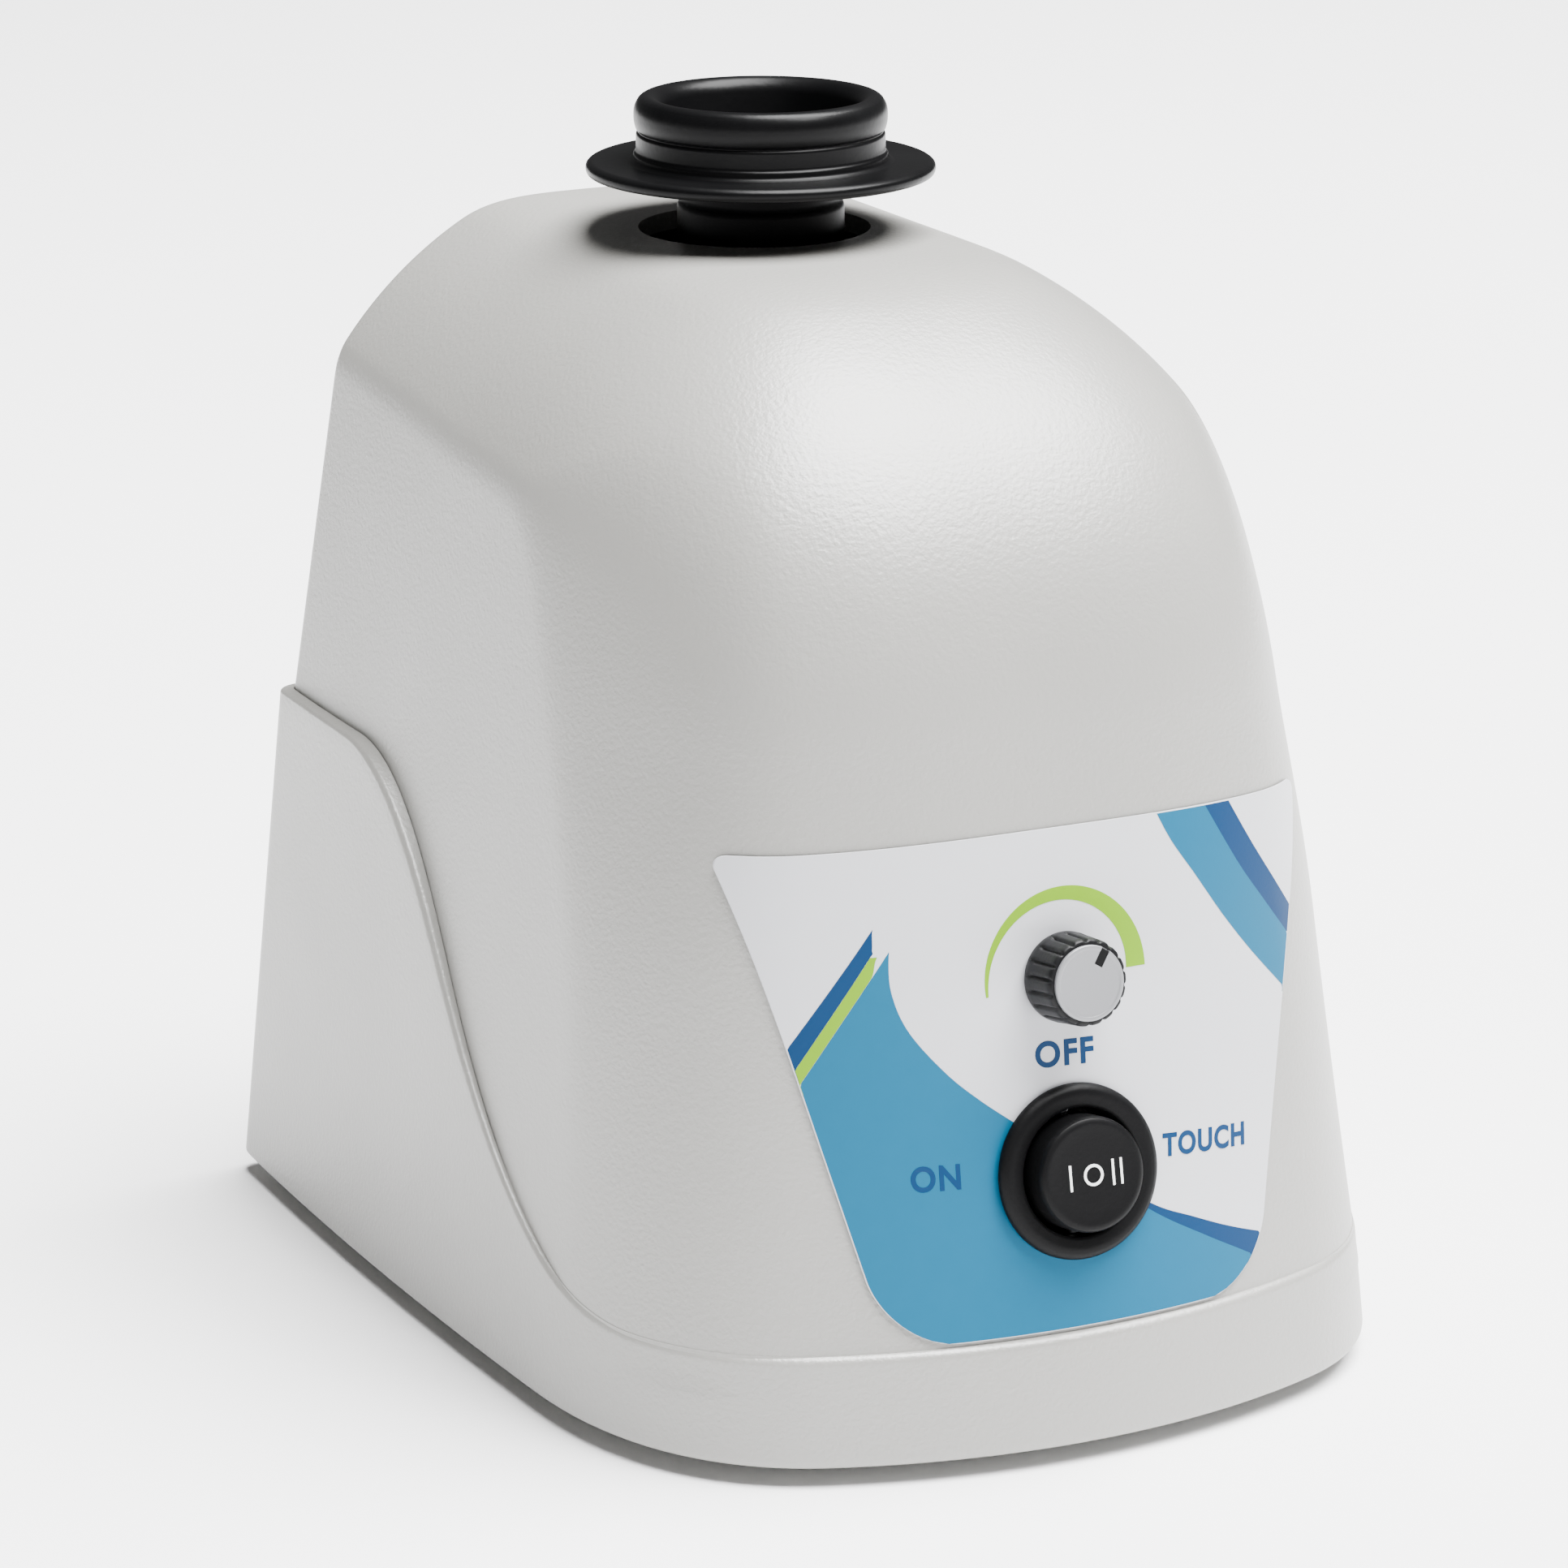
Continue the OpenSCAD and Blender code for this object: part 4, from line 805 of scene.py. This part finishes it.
def panel_word(name, text, x, z, height, stretch, turn, finish_used):
    """A plain word on the film, centred at x and z and turned by so many degrees."""
    curve = bpy.data.curves.new(name, "FONT")
    curve.body = text
    curve.align_x = "CENTER"
    curve.align_y = "CENTER"
    curve.size = height * 1.38
    curve.extrude = 0.03
    curve.offset = 0.13
    curve.space_character = 1.12
    curve.resolution_u = 6
    holder = bpy.data.objects.new(name + "_curve", curve)
    bpy.context.scene.collection.objects.link(holder)
    graph = bpy.context.evaluated_depsgraph_get()
    mesh = bpy.data.meshes.new_from_object(holder.evaluated_get(graph))
    bpy.data.objects.remove(holder)
    co = np.zeros(len(mesh.vertices) * 3)
    mesh.vertices.foreach_get("co", co)
    co = co.reshape(-1, 3)
    c, s = math.cos(math.radians(turn)), math.sin(math.radians(turn))
    across = co[:, 0] * stretch
    px, pz = x + across * c - co[:, 1] * s, z + across * s + co[:, 1] * c
    py = np.where(co[:, 2] > 0, front_at(px, pz, INK_HIGH + 0.025), front_at(px, pz, INK_HIGH - 0.05))
    mesh.vertices.foreach_set("co", (np.stack([px, py, pz], -1) * MM).ravel())
    made = bpy.data.objects.new(name, mesh)
    bpy.context.scene.collection.objects.link(made)
    return show(made, "chassis", "film", finish_used)


# ---------------------------------------------------------------- controls


def speed_knob():
    """Fluted black skirt: broad lands with narrow grooves that stop short of the foot."""
    flutes = 18
    columns = flutes * 16
    angle = np.arange(columns) * 2 * math.pi / columns
    phase = (angle * flutes / (2 * math.pi)) % 1
    groove = np.exp(-((phase - 0.5) / 0.13) ** 2)
    base = 0.7
    top = knob_h - 0.5
    levels = [(base, -0.25, 0), (base + 0.12, -0.08, 0), (base + 0.35, 0, 0), (base + 1.1, 0, 0),
              (base + 1.5, -0.02, 0.6), (base + 1.8, -0.05, 1), (top - 1.2, -0.2, 1), (top - 0.6, -0.24, 1),
              (top - 0.35, -0.3, 0.9), (top - 0.12, -0.42, 0.6), (top, -0.62, 0.25)]
    inside = knob_r - 0.86
    rings = []
    for z, draft, depth in levels:
        radius = knob_r + 0.12 + draft - 0.42 * depth * groove
        rings.append(np.stack([radius * np.cos(angle), radius * np.sin(angle), np.full(columns, z)], -1))
    seat, foot = knob_h - 1.2, base + 0.5
    for z, radius in [(top, inside), (seat, inside), (seat, 3.1), (foot, 3.1), (foot, 4.4), (base, 4.4)]:
        rings.append(np.stack([radius * np.cos(angle), radius * np.sin(angle), np.full(columns, z)], -1))
    knob = new_object("speed_knob_skirt", rings, ring_quads(len(rings), columns, True).tolist(), KNOB_PLACE)
    return show(knob, "speed_control", "knob_plastic", KNOB, "speed_knob")


def knob_cap():
    low, high = knob_h - 1.18, knob_h
    r = knob_r - 0.88
    cap = revolve("speed_knob_cap", [(0, low), (r, low), (r, high - 0.02, 0.22), (r - 0.5, high - 0.02, 0.1),
                                     (r - 0.62, high - 0.1, 0.1), (0, high - 0.1)], KNOB_PLACE, 128)
    turn = KNOB_PLACE @ Matrix.Rotation(math.radians(-32), 4, "Z")
    combine(cap, [slab(-0.62, 0.62, knob_r - 3.3, knob_r + 1, high - 0.55, high + 1, turn)], "DIFFERENCE")
    show(cap, "speed_control", "knob_disc", DISC, "knob_cap")
    mark = prism("speed_knob_mark", [(-0.58, knob_r - 3.26, 0.25), (0.58, knob_r - 3.26, 0.25),
                                     (0.58, knob_r - 1.05, 0.1), (-0.58, knob_r - 1.05, 0.1)],
                 high - 0.54, high - 0.12, turn)
    return show(mark, "speed_control", "pointer_paint", POINTER, "knob_pointer")


def rocker_switch():
    r = bezel_r
    shell = revolve("rocker_bezel", [
        (0, -19), (body_r - 0.6, -19, 0.3), (body_r - 0.1, -18.4, 0.3), (body_r - 0.1, 0.55), (r, 0.55, 0.15),
        (r, 1.2, 0.4), (r - 0.5, 1.85, 0.5), (r - 1.3, 2.1, 0.5), (well_r + 0.35, 1.95, 0.15),
        (well_r, 1.75, 0.15), (well_r, -6), (0, -6)], ROCKER_PLACE, 160)
    show(shell, "chassis", "rocker_plastic", ROCKER, "rocker_housing")
    b, top, foot = well_r - 0.85, 5.2, -3.6
    button = revolve("rocker_button_cap", [
        (0, foot), (b - 1, foot, 0.3), (b, foot + 0.8, 0.4), (b, top - 0.75, 0.5), (b - 0.2, top - 0.28, 0.2),
        (b - 0.75, top, 0.35), (b - 2.2, top - 0.1, 0.8), (0, top - 0.22)], ROCKER_PLACE, 160)
    pin_hole = ROCKER_PLACE @ Matrix.Translation((0, 0, -2)) @ Matrix.Rotation(math.pi / 2, 4, "X")
    combine(button, [cylinder(0.86, -20, 20, pin_hole, segments=24)], "DIFFERENCE")
    show(button, "rocker", "rocker_plastic", ROCKER, "rocker_button")
    marks = [slab(x - 0.16, x + 0.16, -1.7, 1.7, top - 0.3, top - 0.04, ROCKER_PLACE, "rocker_mark_" + tag)
             for x, tag in ((-3.35, "one"), (2.85, "two_a"), (4.05, "two_b"))]
    marks.append(revolve("rocker_mark_zero", [(1.06, top - 0.35), (1.42, top - 0.35), (1.42, top - 0.08),
                                              (1.06, top - 0.08)], ROCKER_PLACE, 64))
    for mark in marks:
        show(mark, "rocker", "pointer_paint", WHITE)


# ---------------------------------------------------------------- cup head


def cup_head():
    f0, r, seat = flange_z - flange_t, cup_r, neck_z + 22.65
    inner = r - 4
    cup = revolve("cup_rubber_moulding", [
        (0, seat), (9.45, seat), (9.45, f0), (flange_r - 0.3, f0, 0.3), (flange_r, f0 + 0.5, 0.3),
        (flange_r, flange_z - 0.5, 0.4), (flange_r - 0.7, flange_z, 0.4), (r + 0.75, flange_z - 0.12, 0.3),
        (r + 0.1, flange_z + 0.35, 0.3), (r + 0.05, flange_z + 1.05, 0.25), (r - 0.3, flange_z + 1.35, 0.3),
        (r - 0.32, cup_top - 5.2, 0.3), (r - 0.62, cup_top - 4.95, 0.15), (r - 0.3, cup_top - 4.6, 0.2),
        (r, cup_top - 3.6, 0.7), (r, cup_top - 1.4, 1.1), (r - 1.1, cup_top - 0.05, 0.8),
        (r - 2.6, cup_top - 0.05, 0.8), (inner + 0.1, cup_top - 1.2, 0.8), (inner - 0.5, cup_top - 4, 1),
        (inner - 1.2, cup_top - 7.4, 2), (8, seat + 3.4, 2), (4.5, seat + 1.9, 2), (0, seat + 1.8)],
        CUP_PLACE, 192, 7)
    show(cup, "cup_head", "cup_rubber", RUBBER, "rubber_cup")
    neck = revolve("cup_neck", [
        (8.02, neck_z), (neck_r - 0.4, neck_z, 0.2), (neck_r, neck_z + 0.5, 0.3), (neck_r, f0 - 4.2, 0.5),
        (neck_r - 0.5, f0 - 3.6, 0.5), (neck_r - 0.5, f0 - 1.6, 0.8), (neck_r, f0 - 0.5, 0.5),
        (neck_r, f0 - 0.02), (9.5, f0 - 0.02), (9.5, neck_z + 22.6), (8.02, neck_z + 20.6)], CUP_PLACE, 128)
    show(neck, "cup_head", "cup_rubber", NECK, "head_neck")


# ---------------------------------------------------------------- inlet, feet, springs and leads


def power_inlet():
    w, h = 13.5, 15.5
    flange = [(-20, -16.6, 1.5), (20, -16.6, 1.5), (24.5, -9, 2.5), (24.5, 9, 2.5), (20, 16.6, 1.5),
              (-20, 16.6, 1.5), (-24.5, 9, 2.5), (-24.5, -9, 2.5)]
    body = prism("inlet_flange", flange, 0.1, 2.1, REAR_PLACE)
    soften(body, 0.35)
    combine(body, [slab(-w, w, -h, h, -14, 1, REAR_PLACE)], "UNION")
    mouth = prism("tool", [(-10.5, -2.5, 0.6), (10.5, -2.5, 0.6), (10.5, 8, 0.5), (7, 11.8, 0.5),
                           (-7, 11.8, 0.5), (-10.5, 8, 0.5)], -12, 8, REAR_PLACE)
    tools = [mouth, slab(-10.6, 10.6, -13.6, -5.4, -12, 8, REAR_PLACE)]
    tools += [cylinder(1.7, -2, 4, REAR_PLACE, x=x, segments=32) for x in (-inlet_screw_x, inlet_screw_x)]
    tools += [slab(x - 0.55, x + 0.55, y - 2.05, y + 2.05, -15, -11, REAR_PLACE)
              for x, y in ((-6.5, 1.6), (6.5, 1.6), (0, 7))]
    combine(body, tools, "DIFFERENCE")
    show(body, "chassis", "black_plastic", BLACK, "power_inlet")
    drawer = prism("fuse_drawer_tray", [(-10.5, -13.5, 0.4), (10.5, -13.5, 0.4), (10.5, -5.5, 0.4),
                                        (-10.5, -5.5, 0.4)], -11.5, 2.3, REAR_PLACE)
    soften(drawer, 0.25)
    notch = REAR_PLACE @ Matrix.Translation((0, -14.2, 2.4)) @ Matrix.Rotation(math.pi / 2, 4, "Y")
    pocket = slab(-10, 10, -12.4, -4, -10.8, -3.6, REAR_PLACE)
    combine(drawer, [pocket, cylinder(1.6, -4, 4, notch, segments=32)], "DIFFERENCE")
    show(drawer, "fuse_carrier", "black_plastic", BLACK, "fuse_drawer")


def rubber_feet():
    outline = [(0, 0.9), (7, 0.9, 0.3), (8.2, 0.02, 0.3), (9.8, 0.02, 0.3), (9.6, 1, 0.4),
               (8.8, foot_z - 0.02, 0.2), (1.7, foot_z - 0.02), (1.7, 1.6), (0, 1.6)]
    first = None
    for x, y in FOOT_PLACES:
        name = "rubber_foot_" + ("right" if x > 0 else "left") + ("_front" if y < 0 else "_rear")
        foot = revolve(name, outline, Matrix.Translation((x, y, 0)), 64)
        show(foot, "chassis", "foot_rubber", FOOT)
        first = first or foot
    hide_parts("feet")


def touch_springs():
    """Four coils under the carriage, their end turns closed up."""
    wire, turns, steps, radius = 0.6, 5.5, 330, 4.6
    low, high = ballast_top + wire + 0.03, carriage_z - wire - 0.03
    t = np.linspace(0, 1, steps)
    rise = (ramp(t, -0.2, 1.2) - ramp(0, -0.2, 1.2)) / (ramp(1, -0.2, 1.2) - ramp(0, -0.2, 1.2))
    coil = np.stack([radius * np.cos(t * turns * 2 * math.pi), radius * np.sin(t * turns * 2 * math.pi),
                     low + (high - low) * rise], -1)
    first = None
    for sx in (-1, 1):
        for sy in (-1, 1):
            path = coil + np.array([sx * 34, head_y + sy * 26, 0])
            name = "touch_spring_" + ("right" if sx > 0 else "left") + ("_rear" if sy > 0 else "_front")
            spring = sweep(name, path, wire, 14, (0, 0, 1))
            show(spring, "chassis", "spring_steel", SPRING)
            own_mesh(spring)
            first = first or spring
    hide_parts("touch_springs")


def inside_leads():
    """The two mains leads, from the inlet along the floor to the terminal block."""
    board_top = ballast_top + 9.6
    end_z, start_z, low = board_top + 10.05, inlet_z + 0.4, ballast_top + 3.5
    line = [(6.5, 55.4, start_z), (9, 50, start_z - 6), (19, 44, low + 2), (22, 36, low), (22, 5, low),
            (20, -7, low + 1.5), (16.9, -13, low + 9), (16.2, -22, low + 15), (15.2, -31, low + 21),
            (15, -37.5, end_z + 3), (15, -37.5, end_z - 3)]
    neutral = [(-6.5, 55.4, start_z), (-4, 50, start_z - 6), (12, 48, low + 2), (18, 38, low), (18.5, 5, low),
               (17, -7, low + 1.5), (14.7, -13, low + 9), (14.4, -22, low + 16.5), (12, -31, low + 22),
               (10, -37.5, end_z + 3), (10, -37.5, end_z - 3)]
    blue = sweep("lead_blue", spline(line, 12), 0.88, 16, (1, 0.17, 0.11))
    show(blue, "chassis", "lead_insulation", LEAD, "wiring")
    brown = sweep("lead_brown", spline(neutral, 12), 0.88, 16, (1, 0.17, 0.11))
    show(brown, "chassis", "lead_insulation", LEAD_BROWN)


# ---------------------------------------------------------------- CAD nodes that keep their shape

NODE_FINISHES = {
    "ballast_plate": IRON, "foot_screws": ZINC, "housing_screws": ZINC, "guide_posts": STEEL,
    "carriage_plate": ZINC, "guide_bushes": NYLON, "motor_can": CAN, "motor_cap_lower": ALUMINIUM,
    "motor_cap_upper": ALUMINIUM, "motor_screws": ZINC, "stator_core": LAMINATION, "stator_windings": COPPER,
    "rotor_core": LAMINATION, "motor_shaft": STEEL, "motor_bearing_outers": BEARING,
    "motor_bearing_inners": BEARING, "cooling_fan": BLACK, "eccentric_hub": ALUMINIUM, "counterweight": IRON,
    "hub_set_screw": POINTER, "head_bearing_inners": BEARING, "head_bearing_outers": BEARING,
    "head_retaining_screw": ZINC, "touch_switch": BLACK, "switch_bracket": ZINC, "switch_plunger": RED,
    "switch_lever": SPRING, "control_board": BOARD, "board_standoffs": BRASS, "board_screws": ZINC,
    "filter_capacitor": YELLOW, "filter_choke": COPPER, "smoothing_capacitors": SLEEVE, "triac": POINTER,
    "heatsink": ALUMINIUM, "terminal_block": TERMINAL, "pot_board": BOARD, "pot_body": ZINC,
    "pot_shaft": STEEL, "pot_screws": ZINC, "rocker_pin": STEEL, "rocker_terminals": BRASS,
    "inlet_pins": BRASS, "inlet_screws": ZINC, "fuse": FUSE,
}


def dress_nodes():
    for name, used in NODE_FINISHES.items():
        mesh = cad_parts[name].data
        mesh.materials.clear()
        mesh.materials.append(used)


# ---------------------------------------------------------------- floor and light


def pale_floor():
    half = 8000
    floor = new_object("floor", [(-half, -half, 0), (half, -half, 0), (half, half, 0), (-half, half, 0)],
                       [[0, 1, 2, 3]])
    paint = finish("floor_paint", (0.90, 0.90, 0.905), 0.7, spread=0.01, grain=200, depth=0.02, tone=3)
    floor.data.materials.append(paint)


def area_light(name, place, aim, size, power):
    light = bpy.data.lights.new(name, "AREA")
    light.shape = "RECTANGLE"
    light.size, light.size_y = size
    light.energy = power
    holder = bpy.data.objects.new(name, light)
    holder.location = place
    holder.rotation_euler = (Vector(aim) - Vector(place)).to_track_quat("-Z", "Y").to_euler()
    bpy.context.scene.collection.objects.link(holder)


def studio():
    area_light("key_softbox", (0.72, -0.42, 2.60), (0.02, -0.02, 0.10), (2.10, 2.10), 610)
    area_light("fill_softbox", (-0.75, -1.15, 0.45), (0.0, 0.0, 0.07), (1.2, 0.8), 1.0)
    world = bpy.data.worlds.new("studio")
    world.use_nodes = True
    sky = world.node_tree.nodes["Background"]
    sky.inputs["Color"].default_value = (1, 1, 1, 1)
    sky.inputs["Strength"].default_value = 0.12
    bpy.context.scene.world = world


# ---------------------------------------------------------------- build

dress_nodes()
upper_housing()
lower_housing()
panel_film()
panel_graphics()
speed_arc()
panel_word("print_word_off", "OFF", -0.5, 52.5, 3.3, 1.0, -2, BLUE)
panel_word("print_word_on", "ON", -19.4, 38.6, 3.2, 0.93, -1, BLUE)
panel_word("print_word_touch", "TOUCH", 20.1, 37.8, 2.9, 0.9, -4.5, BLUE)
speed_knob()
knob_cap()
rocker_switch()
cup_head()
power_inlet()
rubber_feet()
touch_springs()
inside_leads()
pale_floor()
studio()
